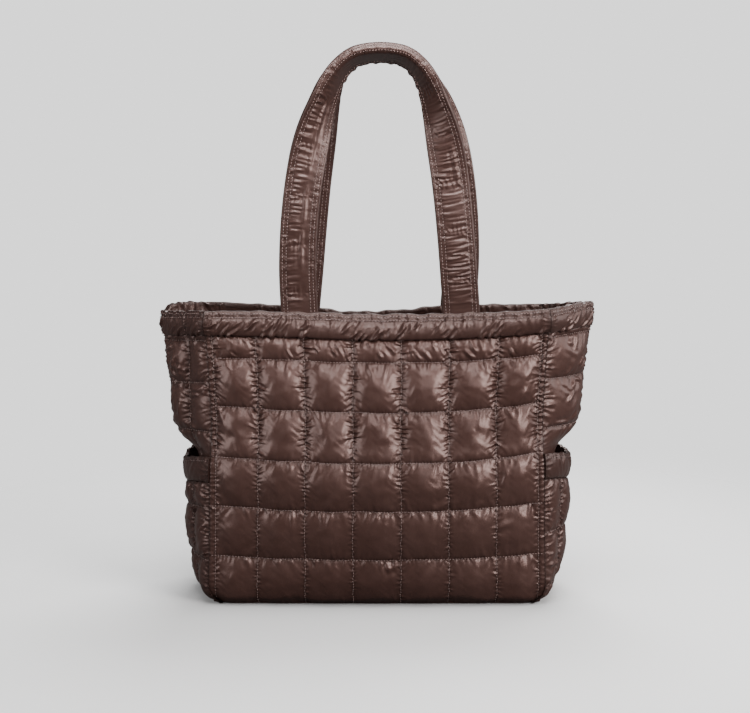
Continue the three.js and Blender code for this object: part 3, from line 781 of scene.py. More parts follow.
def thread_runs(name, runs):
    """All the stitches of a piece as one mesh. A run is a line of points on the cloth with the
    direction out of the cloth at each one."""
    f = finish_values()
    shape, shape_faces = stitch_shape()
    half, thick, lift = 0.36 * f.stitch_pitch, f.stitch_width / 2, 0.3 * f.stitch_width
    points, faces = [], []
    for line, outward in runs:
        at = line_lengths(line)
        count = int(at[-1] / f.stitch_pitch)
        if count < 1:
            continue
        middles = (np.arange(count) + 0.5) * at[-1] / count
        centre = read_line(line, at, middles)
        along = unit(read_line(line, at, middles + half) - read_line(line, at, middles - half))
        out = read_line(outward, at, middles)
        out = unit(out - along * (out * along).sum(-1, keepdims=True))
        aside = np.cross(out, along)
        for c, a, b, o in zip(centre + out * lift, along * half, aside * thick, out * thick):
            base = len(points)
            points.extend(c + shape[:, :1] * a + shape[:, 1:2] * b + shape[:, 2:] * o)
            faces.extend(tuple(base + n for n in face) for face in shape_faces)
    mesh = bpy.data.meshes.new(name)
    mesh.from_pydata([tuple(p) for p in points], [], faces)
    mesh.validate()
    thread = bpy.data.objects.new(name, mesh)
    bpy.context.scene.collection.objects.link(thread)
    bpy.ops.object.select_all(action="DESELECT")
    thread.select_set(True)
    bpy.context.view_layer.objects.active = thread
    bpy.ops.object.mode_set(mode="EDIT")
    bpy.ops.mesh.select_all(action="SELECT")
    bpy.ops.mesh.normals_make_consistent(inside=False)
    bpy.ops.object.mode_set(mode="OBJECT")
    bpy.ops.object.shade_smooth()
    thread.data.materials.append(thread_material())
    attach(thread, "root")


def quilt_runs(side, cut, sheet, place_outer, levels):
    """The runs of stitches of a padded wall, on its upright lines and the level ones given."""
    lift, end, count = 0.15 * MM, 1 * MM, 160
    up, across = np.linspace(end, cut["height"] - end, count), np.linspace(end, cut["width"] - end, count)
    lines = [(np.full(count, line), up) for line in cut["uprights"][1:-1]]
    lines += [(across, np.full(count, line)) for line in levels]
    runs = []
    for x, y in lines:
        proud = read_sheet(sheet, x, y)
        dx, dy = wobble(x, y, cut["seed"])
        inside = off_edges(cut, x, y)
        x, y = x + dx * inside, y + dy * inside
        share = (cut["width"] - x if cut["mirror"] else x) / cut["width"]
        cloth = place_outer(side, share, WALL_FOOT + y, proud)
        line = place_outer(side, share, WALL_FOOT + y, proud + lift)
        runs.append((line, unit(line - cloth)))
    return runs


# Materials


class Value:
    """A socket of a material that can be reckoned with. Each step adds its Math node."""

    def __init__(self, tree, socket):
        self.tree = tree
        self.socket = socket

    def math(self, operation, *values, clamp=False):
        node = self.tree.nodes.new("ShaderNodeMath")
        node.operation = operation
        node.use_clamp = clamp
        for socket, value in zip(node.inputs, values):
            if isinstance(value, Value):
                self.tree.links.new(value.socket, socket)
            else:
                socket.default_value = value
        return Value(self.tree, node.outputs[0])

    def __add__(self, other):
        return self.math("ADD", self, other)

    def __radd__(self, other):
        return self.math("ADD", other, self)

    def __sub__(self, other):
        return self.math("SUBTRACT", self, other)

    def __rsub__(self, other):
        return self.math("SUBTRACT", other, self)

    def __mul__(self, other):
        return self.math("MULTIPLY", self, other)

    def __rmul__(self, other):
        return self.math("MULTIPLY", other, self)

    def __pow__(self, other):
        return self.math("POWER", self, other)

    def clamped(self):
        return self.math("ADD", self, 0, clamp=True)


class Finish:
    """A material being made, and the one way to add any of its other nodes."""

    def __init__(self, name):
        self.material = bpy.data.materials.new(name)
        self.material.use_nodes = True
        self.tree = self.material.node_tree
        self.tree.nodes.clear()

    def node(self, kind, settings=None, outlet=0, **sockets):
        """Adds a node with its settings, then the values or links of its sockets, and gives one of
        its outlets."""
        node = self.tree.nodes.new(kind)
        for name, value in (settings or {}).items():
            setattr(node, name, value)
        for name, value in sockets.items():
            socket = self.socket(node, name)
            if isinstance(value, Value):
                self.tree.links.new(value.socket, socket)
            else:
                socket.default_value = value
        return Value(self.tree, node.outputs[outlet])

    @staticmethod
    def socket(node, name):
        """An input by its name in lower case with underscores, or by its number after an n."""
        if name[0] == "n" and name[1:].isdigit():
            return node.inputs[int(name[1:])]
        return next(s for s in node.inputs if s.name.lower().replace(" ", "_") == name and s.enabled)

    def blend(self, share, a, b):
        """Mixes two colours, by the share that the second one takes."""
        return self.node("ShaderNodeMix", {"data_type": "RGBA"}, 2, n0=share, n6=a, n7=b)

    def coordinates(self, outlet):
        """Texture coordinates by the name of their outlet."""
        outlets = ["Generated", "Normal", "UV", "Object"]
        return self.node("ShaderNodeTexCoord", outlet=outlets.index(outlet))

    def noise(self, vector, scale, detail=2.0, roughness=0.5):
        """Soft clouds, from 0 to 1."""
        return self.node("ShaderNodeTexNoise", {"noise_dimensions": "3D"}, vector=vector, scale=scale,
                         detail=detail, roughness=roughness)

    def wave(self, vector, direction, scale, **sockets):
        """The strength of parallel bands."""
        settings = {"wave_type": "BANDS", "bands_direction": direction}
        return self.node("ShaderNodeTexWave", settings, 1, vector=vector, scale=scale, **sockets)

    def attribute(self, name):
        """An attribute's strength at each point."""
        return self.node("ShaderNodeAttribute", {"attribute_name": name}, 2)

    def output(self, shader):
        out = self.tree.nodes.new("ShaderNodeOutputMaterial")
        self.tree.links.new(shader.socket, out.inputs["Surface"])
        return self.material


def rgba(values):
    return (*values, 1.0)


def scaled(tint, share):
    return rgba([share * part for part in tint])


def cloth_material(slot):
    """Glossy nylon: brown, paler in random patches, with shade painted darker into its colour along its
    stitched lines, and with a fine weave and small creases."""
    name = f"{slot}_nylon"
    if name in bpy.data.materials:
        return bpy.data.materials[name]
    f = finish_values()
    tone, crinkle = CLOTHS[slot]["tone"], CLOTHS[slot]["crinkle"]
    look = Finish(name)
    place = look.coordinates("Object")
    cloth = look.coordinates("UV")
    sewn = look.attribute("Sewn")
    cloud = look.noise(place, 14.0, 3.0)
    patch = look.noise(place, 55.0, 3.0)
    # Random paler patches of the cloth's own colour.
    pale = ((cloud - 0.42) * 1.6 + (patch - 0.5) * 0.7).clamped()
    # The trim and strap slots take darker copies of the same colours, as painted shade.
    base = look.blend(pale * 0.55, scaled(f.plain, tone), scaled(f.pale, tone))
    # Painted shade: near the stitched lines the colour goes towards the deep one, by the stored nearness to
    # stitching.
    tint = look.blend((sewn * 0.75).clamped(), base, scaled(f.deep, tone))
    creases = look.noise(cloth, 210.0, 3.0, 0.55)
    weft, warp = (look.wave(cloth, way, 560.0, distortion=0.4, detail=1.0) for way in ("X", "Y"))
    weave = look.node("ShaderNodeBump", strength=0.06, distance=0.15 * MM, height=weft * warp)
    crinkled = look.node("ShaderNodeBump", strength=crinkle, distance=0.6 * MM, height=creases,
                         normal=weave)
    rough = (patch - 0.5) * 0.16 + (creases - 0.5) * 0.1 + f.roughness + sewn * 0.1
    surface = look.node(
        "ShaderNodeBsdfPrincipled",
        base_color=tint, roughness=rough.clamped(), normal=crinkled, ior=1.5, metallic=f.metal,
        specular_tint=rgba(f.shine), coat_weight=f.coat, coat_roughness=0.26, coat_ior=1.45,
        sheen_weight=0.03, sheen_roughness=0.4, sheen_tint=rgba(f.shine),
    )
    return look.output(surface)


def thread_material():
    """Polyester thread, a little paler than the cloth, with its twist."""
    name = "thread"
    if name in bpy.data.materials:
        return bpy.data.materials[name]
    f = finish_values()
    look = Finish(name)
    place = look.coordinates("Object")
    shade = look.noise(place, 120.0, 2.0)
    tint = look.blend((shade * 1.4 - 0.2).clamped(), scaled(f.thread, 0.6), scaled(f.thread, 1.7))
    twist = look.wave(place, "DIAGONAL", 900.0)
    bump = look.node("ShaderNodeBump", strength=0.3, distance=0.1 * MM, height=twist)
    surface = look.node("ShaderNodeBsdfPrincipled", base_color=tint, roughness=shade * 0.2 + 0.3,
                        normal=bump, sheen_weight=0.2)
    return look.output(surface)


def dress(piece, node, slot):
    """Gives a finished padded piece its cloth, and lets it stand for its plain solid."""
    piece.data.materials.clear()
    piece.data.materials.append(cloth_material(slot))
    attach(piece, "root")
    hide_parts(node)


# The walls' pieces


def quilted_wall(node, side, cut, place_outer, place_inner, lining_rows, shown=None):
    """Makes a padded wall with its cloth and its thread. Shown lists the level lines whose stitches can
    be seen, where not all can."""
    piece, sheet = quilted_body(f"{node}_cloth", side, cut, place_outer, place_inner, lining_rows)
    dress(piece, node, "shell")
    levels = cut["levels"][1:-1] if shown is None else shown
    thread_runs(f"{node}_thread", quilt_runs(side, cut, sheet, place_outer, levels))


def panel_outer(side, across, height, out):
    """A big panel's outer cloth, at a distance out of its wall."""
    raised = seam_raise(side, across, height) - roll_under(side, across, height)
    return off_wall(side, across, height, out + raised)


def panel_inner(side, across, height):
    return off_wall(side, across, height, -SEAM_THICKNESS - roll_under(side, across, height))


class TOTE_OT_panels(bpy.types.Operator):
    """Make the two big quilted panels"""

    bl_idname = "tote.panels"
    bl_label = "Big Panels"

    def execute(self, context):
        s = sizes()
        top = s.height - s.band_height - SEAM_GAP / 2
        levels = row_lines(WALL_FOOT, top, s.first_row, s.row_pitch)
        edge_line = 5.5 * MM
        uprights = [edge_line, *(s.panel_width * k / s.columns for k in range(1, s.columns)),
                    s.panel_width - edge_line]
        for node, side, pitch in (("front_panel", FRONT, 2.3 * MM), ("back_panel", BACK, 2.8 * MM)):
            under_band = crumples(count=30, long=5.5, width=1.5, height=1.5, angle=-1.05, spread=0.25,
                                  low=0.93, high=0.99)
            slack_cloth = crumples(count=16, long=11, width=3.4, height=0.9, angle=0.9, spread=0.7, high=0.92)
            cut = sheet_cut(
                s.panel_width, top - WALL_FOOT, uprights, levels, seed=11, puff=s.puff,
                pitch=pitch, mirror=side == BACK, soft=0.84, ruches=RUCHES,
                crumples=[under_band, slack_cloth],
            )
            quilted_wall(node, side, cut, panel_outer, panel_inner, lining_rows=12)
        return {"FINISHED"}


def fold_share(across):
    """0 at a gusset's seams and 1 at its middle fold."""
    return np.sin(np.pi * np.clip(across, 0, 1))


def pocket_sag(across, height):
    """How far a pocket's cloth hangs down at the gusset's fold, most at its mouth."""
    s = sizes()
    return s.pocket_sag * fold_share(across) ** 1.5 * ease(height, 0.35 * s.pocket_top, s.pocket_top)


def pocket_ground(height):
    """How far a pocket's cloth lies off the gusset's surface, less at the foot."""
    return (sizes().pocket_gap + SEAM_THICKNESS) * ease(height, WALL_FOOT - 20 * MM, 30 * MM)


def gape(across, height):
    """How far a gusset falls in behind its pocket, most at the pocket's mouth."""
    s = sizes()
    below = ease(height, WALL_FOOT, s.pocket_top)
    above = 1 - ease(height, s.pocket_top, s.pocket_top + 30 * MM)
    return s.pocket_gape * fold_share(across) ** 0.8 * np.where(height < s.pocket_top, below, above)


def gusset_outer(side, across, height, out):
    """A gusset's outer cloth, which lies flat behind the pocket."""
    s = sizes()
    padding = ease(height, s.pocket_top - s.pocket_band / 2, s.pocket_top + 30 * MM)
    raised = (out + seam_raise(side, across, height)) * padding
    return off_wall(side, across, height, raised - gape(across, height) - roll_under(side, across, height))


def gusset_inner(side, across, height):
    sunk = gape(across, height) + roll_under(side, across, height)
    return off_wall(side, across, height, -SEAM_THICKNESS - sunk)


class TOTE_OT_gussets(bpy.types.Operator):
    """Make the two folding gussets"""

    bl_idname = "tote.gussets"
    bl_label = "Gussets"

    def execute(self, context):
        s = sizes()
        top = s.height - s.band_height - SEAM_GAP / 2
        under_band = top - 7 * MM
        levels = [*row_lines(WALL_FOOT, top, s.gusset_row, s.gusset_row), under_band - WALL_FOOT]
        for node, side, uprights, seed in (
            ("right_gusset", RIGHT, [s.gusset_width / 2], 21),
            ("left_gusset", LEFT, gusset_lines(), 31),
        ):
            slack_cloth = crumples(count=70, long=9, width=2.2, height=1.3, angle=0.3, spread=1.2, low=0.45)
            cut = sheet_cut(
                s.gusset_width, top - WALL_FOOT, uprights, levels, seed, puff=s.gusset_puff,
                pitch=2.45 * MM, gathers=0.7, crumples=[slack_cloth],
            )
            shown = [level for level in levels if level > s.pocket_top - WALL_FOOT]
            quilted_wall(node, side, cut, gusset_outer, gusset_inner, lining_rows=40, shown=shown)
        return {"FINISHED"}


def gusset_lines():
    """A gusset's three upright lines."""
    s = sizes()
    return [s.gusset_line, s.gusset_width / 2, s.gusset_width - s.gusset_line]


def pocket_outer(side, across, height, out):
    out = pocket_ground(height) + out - roll_under(side, across, height)
    return off_wall(side, across, height - pocket_sag(across, height), out)


def pocket_inner(side, across, height):
    out = sizes().pocket_gap - roll_under(side, across, height)
    return off_wall(side, across, height - pocket_sag(across, height), out)


class TOTE_OT_pockets(bpy.types.Operator):
    """Make the two side pockets"""

    bl_idname = "tote.pockets"
    bl_label = "Pockets"

    def execute(self, context):
        s = sizes()
        top = s.pocket_top - s.pocket_band - SEAM_GAP / 2
        for node, side, first, seed in (
            ("right_pocket", RIGHT, s.pocket_row, 41),
            ("left_pocket", LEFT, s.pocket_first_row, 51),
        ):
            levels = row_lines(WALL_FOOT, top, first, s.pocket_row)
            slack_cloth = crumples(count=40, long=8, width=2.0, height=1.1, angle=0.4, spread=1.0)
            cut = sheet_cut(
                s.gusset_width, top - WALL_FOOT, gusset_lines(), levels, seed, puff=s.pocket_puff,
                soft=0.4, crumples=[slack_cloth],
            )
            quilted_wall(node, side, cut, pocket_outer, pocket_inner, lining_rows=24)
        return {"FINISHED"}


def profile_curve(profile):
    """A band's outline as a smooth curve of rises and outs, from its table."""
    rows = np.array([[row["rise"], row["out"]] for row in profile])
    fine = refine(refine(refine(rows, 0), 0), 0)
    return fine[:, 0], fine[:, 1]


def no_sag(across, height):
    return 0.0


def ragged(share, seed):
    """How far a band's top edge rises and falls. It is level at both ends."""
    reach = 0.55 * MM
    waves = np.sin(61 * share + seed) + 0.8 * np.sin(113 * share + 2 * seed)
    waves += 0.6 * np.sin(29 * share + seed)
    return reach * waves * fold_share(share) ** 0.5


def banded(name, side, cut, profile, low, high, puff_at, ground, inner_line, sag=no_sag):
    """A padded band: the outer roll from its table with the swollen sheet's folds on it, then its top
    edge and its inner face. The inner line gives rows of rise, distance out of the wall, and how much
    of the facing's folds shows there. It returns the piece and a function that finds places on it."""
    blown = padded_sheet(cut)
    rise_fine, out_fine = profile_curve(profile)
    span = high - low
    x, t = blown[..., 0] / cut["width"], blown[..., 1] / cut["height"]
    puff = puff_at(x)
    at = line_lengths(np.stack([rise_fine * span, out_fine * np.max(puff)], -1))
    at /= at[-1]

    def lifted(share, rise):
        """Nominal height of a place on the band, with its ragged edge."""
        return low + span * rise + ragged(share, cut["seed"]) * ease(rise, 0.5, 1)

    rise, out = np.interp(t, at, rise_fine), np.interp(t, at, out_fine)
    tilt_rise = np.interp(t, at, np.gradient(rise_fine, at)) * span
    tilt_out = np.interp(t, at, np.gradient(out_fine, at)) * puff
    relief = blown[..., 2] / np.hypot(tilt_rise, tilt_out)
    height = lifted(x, rise) - relief * tilt_out
    outer = off_wall(side, x, height - sag(x, height), ground + puff * out + relief * tilt_rise)

    edge_x = x[:, -1:]
    rows = inner_line(edge_x)
    xs = refine(ticks(cut["width"], cut["uprights"], cut["pitch"])[0], 0)
    ys = np.linspace(0, span, len(rows))
    facing = np.zeros((len(xs), len(ys)))
    rng = np.random.default_rng(cut["seed"] + 90)
    wrinkles = crumples(count=60, long=7, width=1.7, height=1.1, angle=1.1, spread=0.5)
    crumple_sheet(xs, ys, facing, rng, **wrinkles)
    inner = []
    for k, (rise_in, out_in, folds) in enumerate(rows):
        up = lifted(edge_x, rise_in)
        out_in = out_in - folds * facing[:, -1 - k : len(ys) - k]
        inner.append(off_wall(side, edge_x, up - sag(edge_x, up), out_in))
    rings = np.concatenate([outer, *inner, outer[:, :1]], 1)
    more = len(inner) + 1
    inner_y = cut["height"] + 2 * MM * np.arange(1, more + 1) + 0 * edge_x
    flat_y = np.concatenate([blown[..., 1], inner_y], 1)
    flat_x = np.concatenate([blown[..., 0], np.repeat(blown[:, -1:, 0], more, 1)], 1)
    piece = closed_piece(name, rings, np.stack([flat_x, flat_y], -1))
    # The mask of the shade painted into the band's colour along its stitched lines.
    give_sewn(piece, outer, np.exp(-line_distance(cut, blown) / (1.6 * MM)))

    def place(along, up):
        """Points on the band's outer face at places in its sheet, and the direction out of it."""
        share = along / cut["width"]
        height = lifted(share, np.interp(up / cut["height"], at, rise_fine))
        height = height - sag(share, height)
        out = ground + puff_at(share) * np.interp(up / cut["height"], at, out_fine)
        line = off_wall(side, share, height, out)
        return line, unit(off_wall(side, share, height, out + 1 * MM) - line)

    return piece, place


def band_runs(place, width, levels, uprights=(), top=0.0):
    """The runs of stitches of a band, along its level lines and up its upright ones."""
    end, along_count, up_count = 1 * MM, 200, 20
    along, up = np.linspace(end, width - end, along_count), np.linspace(end, top, up_count)
    runs = [place(along, np.full(along_count, level)) for level in levels]
    return runs + [place(np.full(up_count, upright), up) for upright in uprights]


class TOTE_OT_rim(bpy.types.Operator):
    """Make the puffy band round the mouth, in its four lengths"""

    bl_idname = "tote.rim"
    bl_label = "Rim Bands"

    def execute(self, context):
        s = sizes()
        low = s.height - s.band_height + SEAM_GAP / 2
        arc, spacing = 33 * MM, 8 * MM
        topstitch = [arc - 7.5 * MM, arc - 3.2 * MM]
        facing = s.rim_out - s.rim_thickness
        handle_feet = (0.273, 0.747)
        for node, side, width, uprights, seed in (
            ("front_rim_band", FRONT, s.panel_width, [], 61),
            ("back_rim_band", BACK, s.panel_width, [], 62),
            ("right_rim_band", RIGHT, s.gusset_width, [s.gusset_width / 2], 63),
            ("left_rim_band", LEFT, s.gusset_width, gusset_lines(), 64),
        ):
            folding = 1 if side in (RIGHT, LEFT) else 0
            wrinkles = [crumples(count=int(width / spacing), long=8, width=1.7, height=1.9, angle=0.95,
                                 spread=0.22, low=0.12, high=0.62)]
            for foot in handle_feet if side == FRONT else ():
                wrinkles.append(crumples(count=10, long=3.5, width=1.0, height=0.9, angle=1.57, spread=0.1,
                                         low=0.55, high=0.9, left=foot - 0.05, right=foot + 0.05))
            cut = sheet_cut(
                width, arc, uprights, topstitch, seed, puff=1.5 * MM,
                pitch=1.9 * MM, slack=(0.12, 0.1), skew=0.22, pressure=12.0, bending=3.0, frames=26,
                gathers=0.4, soft=0.85, crumples=wrinkles,
            )

            def bulge(x, folding=folding):
                return mix(s.band_puff - 1.6 * MM, s.fold_puff, folding * fold_share(x))

            def inner_line(x, folding=folding):
                edge = mix(s.rim_out, 1.2 * MM, folding * fold_share(x))
                rows = [(1.0, mix(edge, facing, 0.4), 0), (0.99, facing, 0.2)]
                rows += [(0.99 - 0.98 * step / 14, facing - 0.6 * MM, 1) for step in range(1, 14)]
                return [*rows, (0.0, -SEAM_THICKNESS, 0)]

            piece, place = banded(f"{node}_cloth", side, cut, BAND_PROFILE, low, s.height, bulge, 0.0,
                                  inner_line)
            dress(piece, node, "trim")
            thread_runs(f"{node}_thread", band_runs(place, width, topstitch, uprights, arc - 3 * MM))
        return {"FINISHED"}


class TOTE_OT_pocket_bands(bpy.types.Operator):
    """Make the bands on the pockets' mouths"""

    bl_idname = "tote.pocket_bands"
    bl_label = "Pocket Bands"

    def execute(self, context):
        s = sizes()
        low = s.pocket_top - s.pocket_band + SEAM_GAP / 2
        arc = 28 * MM
        topstitch = [arc - 4 * MM]

        def bulge(x):
            return s.pocket_band_puff - 1 * MM

        def inner_line(x):
            rows = [(1.0, s.pocket_gap + 1.2 * MM, 0)]
            return rows + [(1 - k / 4, s.pocket_gap, 0) for k in range(5)]

        for node, side, seed in (("right_pocket_band", RIGHT, 71), ("left_pocket_band", LEFT, 72)):
            cut = sheet_cut(
                s.gusset_width, arc, [], topstitch, seed, puff=1.5 * MM,
                pitch=2.1 * MM, slack=(0.07, 0.08), skew=0.12, pressure=10.0, bending=4.0, frames=22,
                gathers=0.6,
            )
            piece, place = banded(f"{node}_cloth", side, cut, POCKET_BAND_PROFILE, low, s.pocket_top, bulge,
                                  s.pocket_gap + SEAM_THICKNESS, inner_line, pocket_sag)
            dress(piece, node, "trim")
            thread_runs(f"{node}_thread", band_runs(place, s.gusset_width, topstitch))
        return {"FINISHED"}


def base_plan(loop):
    """The edge of the base at places round the bag, inside the walls' foot."""
    side = np.floor(loop) % 4
    inset = SEAM_THICKNESS + SEAM_GAP + roll_under(side, loop - np.floor(loop), WALL_FOOT)
    return wall_point(loop, WALL_FOOT) - wall_outward(loop, WALL_FOOT) * inset[:, None]


class TOTE_OT_base(bpy.types.Operator):
    """Make the padded base"""

    bl_idname = "tote.base"
    bl_label = "Base"

    def execute(self, context):
        s = sizes()
        columns, rows, quilted_rows, edge_radius = 84, 32, 3, 5 * MM
        a, b = np.linspace(0, 1, columns + 1), np.linspace(0, 1, rows + 1)
        front, back = base_plan(a), base_plan(3 - a)
        right, left = base_plan(1 + b), base_plan(4 - b)
        u, v = np.meshgrid(a, b, indexing="ij")
        across, deep = u[..., None], v[..., None]
        corners = mix(mix(front[0], front[-1], across), mix(back[0], back[-1], across), deep)
        flat = mix(front[:, None], back[:, None], deep) + mix(left[None], right[None], across) - corners
        inset = np.minimum(np.minimum(u, 1 - u) * s.panel_width, np.minimum(v, 1 - v) * s.gusset_width)
        round_off = np.sqrt(1 - (1 - np.clip(inset / edge_radius, 0, 1)) ** 2)
        squares = np.sqrt(np.abs(np.sin(np.pi * u * s.columns) * np.sin(np.pi * v * quilted_rows)))
        under, over = flat.copy(), flat.copy()
        under[..., 2] = s.base_thickness * 0.45 * (1 - round_off) + 1.2 * MM * (1 - squares) * round_off
        over[..., 2] = s.base_thickness * (0.45 + 0.45 * round_off) + 1.6 * MM * squares * round_off
        rings = np.concatenate([under, over[:, ::-1], under[:, :1]], 1)
        piece = closed_piece("bottom_panel_cloth", rings, rings[..., :2])
        # The mask of the shade painted into the base's colour in its quilted grooves.
        give_sewn(piece, under, (1 - squares) * 0.4)
        dress(piece, "bottom_panel", "shell")
        return {"FINISHED"}


# Handles


class Strap:
    """A handle's middle line, and the directions across the strap and through it."""

    def __init__(self, side):
        h, s = strap_sizes(), sizes()
        front = side == FRONT
        self.side = side
        self.facing = -1 if front else 1
        self.curl = h.curl * (1 if front else 0.3)
        self.rise = h.rise + (h.front_rise if front else h.back_rise)
        sway = -3.5 * MM if front else 5 * MM
        squareness, arch_points = 2.85, 23
        feet = [[self.foot(way, s.height - depth) for depth in (h.foot_depth, h.foot_depth / 2)]
                for way in (-1, 1)]
        arch = []
        for turn in np.linspace(math.pi, 0, arch_points):
            across = h.span / 2 * np.sign(math.cos(turn)) * abs(math.cos(turn)) ** (2 / squareness)
            t = math.sin(turn)
            base = self.foot(-1 if across < 0 else 1, s.height)
            x = across + h.shift + sway * math.sin(math.pi * t**0.8)
            y = mix(base[1], self.facing * h.lean, float(ease(t, 0, 1)))
            arch.append(np.array([x, y, base[2] * (1 - t) + (s.height + self.rise) * t]))
        points = np.array([*feet[0], *arch, *reversed(feet[1])])
        self.line = refine(refine(refine(refine(points, 0), 0), 0), 0)
        self.at = line_lengths(self.line)
        self.length = self.at[-1]

    def foot_place(self, way):
        """Where one foot stands round the bag: way is -1 for the left foot and 1 for the right one."""
        h = strap_sizes()
        return self.side + 0.5 - self.facing * (way * h.span / 2 + h.shift) / sizes().panel_width

    def foot(self, way, height):
        """A point of one foot in the middle of the rim's edge."""
        s = sizes()
        place = self.foot_place(way) - self.side
        return off_wall(self.side, place, height, s.rim_out - s.rim_thickness / 2)

    def frames(self, distance):
        """The middle, the direction across and the direction through at distances along the strap."""
        h, s = strap_sizes(), sizes()
        centre = read_line(self.line, self.at, distance)
        reach = 4 * MM
        ahead = read_line(self.line, self.at, np.minimum(distance + reach, self.length))
        along = unit(ahead - read_line(self.line, self.at, np.maximum(distance - reach, 0)))
        t = np.clip((centre[:, 2] - s.height) / self.rise, 0, 1)
        turn = h.twist * ease(t, 0.48, 1.02)
        place = self.foot_place(np.where(distance < self.length / 2, -1, 1))
        in_wall = wall_outward(place, s.height) * self.facing
        square = mix(in_wall, np.array([0, 1, 0.0]), ease(t, 0, 0.3)[:, None])
        level = np.zeros_like(along)
        level[:, 1] = self.facing
        depthwise = unit(level - along * (along[:, 1:2] * self.facing))
        outward = unit(np.cross(along, square))
        wide = outward * np.cos(turn)[:, None] + depthwise * np.sin(turn)[:, None]
        wide = unit(wide - along * (wide * along).sum(-1, keepdims=True))
        return centre, wide, np.cross(along, wide)


def cross_puckers(blown, width, seed):
    """The close folds across a strap. On its first leg they keep to the outer part, and on its second
    leg they reach across."""
    rng = np.random.default_rng(seed)
    x, outer_share = blown[..., 0], 1 - blown[..., 1] / width
    run = x[-1, 0]
    pitch, reach_along = 3.6 * MM, 7 * MM
    relief = np.zeros_like(x)
    for k in range(int(run / pitch)):
        at = (k + 0.25 * rng.uniform(-1, 1)) * pitch
        second = at > run / 2
        lean = rng.normal(2.5 if second else -1.5, 1.6) * MM
        bow = rng.normal(-9, 3) * MM
        broad = rng.uniform(1.15, 1.6) * MM
        tall = rng.uniform(0.5, 1.25) * MM * (0.75 + 0.35 * math.sin(at / (17 * MM)))
        start = rng.uniform(0.1, 0.2)
        stop = rng.uniform(0.72, 0.98) if second else rng.uniform(0.4, 0.68)
        window = slice(*np.searchsorted(x[:, 0], [at - reach_along, at + reach_along]))
        share = outer_share[window]
        q = (x[window] - at - lean * (share - 0.5) - bow * (share - 0.5) ** 2) / broad
        ends = ease(share, start, start + 0.1) * (1 - ease(share, stop - 0.2, stop + 0.05))
        relief[window] += tall * (np.exp(-q * q) - 0.25 * np.exp(-((np.abs(q) - 1.8) ** 2))) * ends
    return relief


def make_handle(node, strap, cut, blown, stitched):
    """One handle: its two faces and rounded edges, laid along the strap's middle line and folded back
    along its outer edge towards the top of the arch."""
    h, s = strap_sizes(), sizes()
    x = blown[..., 0] / cut["width"] * strap.length
    across = blown[..., 1] - h.width / 2
    steps = x[:, 0]
    zero = 0 * steps[:, None]
    centre, wide, deep = strap.frames(steps)
    flat_foot = 1 - ease(centre[:, 2], s.height - 2 * MM, s.height + 16 * MM)
    turned = ease(np.clip((centre[:, 2] - s.height) / strap.rise, 0, 1), 0.78, 0.97)
    ruffle = (np.sin(steps * 430) + 0.7 * np.sin(steps * 713 + 1)) * 1.3 * MM * turned
    ruffled = across - ruffle[:, None] * ease(-across / h.width, 0.2, 0.5)
    bend = np.maximum(strap.curl * turned, 0.001)[:, None]
    radius = h.curl_round / bend

    def lay(w, d):
        """Points at a distance across the flat strap and through it."""
        past = w - h.curl_start
        turn = bend * np.clip(past / h.curl_round, 0, 1)
        beyond = np.maximum(past - h.curl_round, 0)
        up = np.minimum(w, h.curl_start) + (radius + d) * np.sin(turn) + beyond * np.cos(turn)
        out = d * np.cos(turn) - radius * (1 - np.cos(turn)) - beyond * np.sin(turn)
        return centre[:, None] + wide[:, None] * up[..., None] + deep[:, None] * out[..., None]

    edge, bulge = h.edge / 2, 1.3 * MM
    foot_relief = (1 - 0.75 * flat_foot)[:, None]
    outer = blown[..., 2] * foot_relief * (1 - 0.6 * turned)[:, None]
    inner = blown[::-1, ::-1, 2] * foot_relief
    turns = np.radians([62, 35, -35, -62])
    face = lay(ruffled, edge + outer)
    rear = lay(ruffled[:, ::-1], -edge - inner)
    top_edge = lay(ruffled[:, -1:] + bulge * np.cos(turns), edge * np.sin(turns) + zero)
    foot_edge = lay(ruffled[:, :1] - bulge * np.cos(turns), -edge * np.sin(turns) + zero)
    rings = np.concatenate([face, top_edge, rear, foot_edge, face[:, :1]], 1)
    around = h.width + 5 * MM
    round_edge = h.width + np.arange(1, 5) * MM + zero
    flat_y = [blown[..., 1], round_edge, blown[:, ::-1, 1] + around, round_edge + around, 2 * around + zero]
    flat_y = np.concatenate(flat_y, 1)
    piece = closed_piece(f"{node}_cloth", rings, np.stack([x[:, :1] + 0 * flat_y, flat_y], -1))
    near = np.min([np.abs(blown[..., 1] - line) for line in cut["levels"]], 0)
    # The mask of the shade painted into the strap's colour along its stitched lines.
    give_sewn(piece, face, np.exp(-near / (1.2 * MM)) * 0.8)
    dress(piece, node, "strap")
    runs = []
    inside = (steps > h.foot_depth - 1 * MM) & (steps < strap.length - h.foot_depth + 1 * MM)
    for level in stitched:
        for way in (1, -1):
            cloth, above = (lay(level - h.width / 2 + zero, way * (edge + off) + zero)[inside, 0]
                            for off in (0.1 * MM, 1 * MM))
            runs.append((cloth, unit(above - cloth)))
    thread_runs(f"{node}_thread", runs)


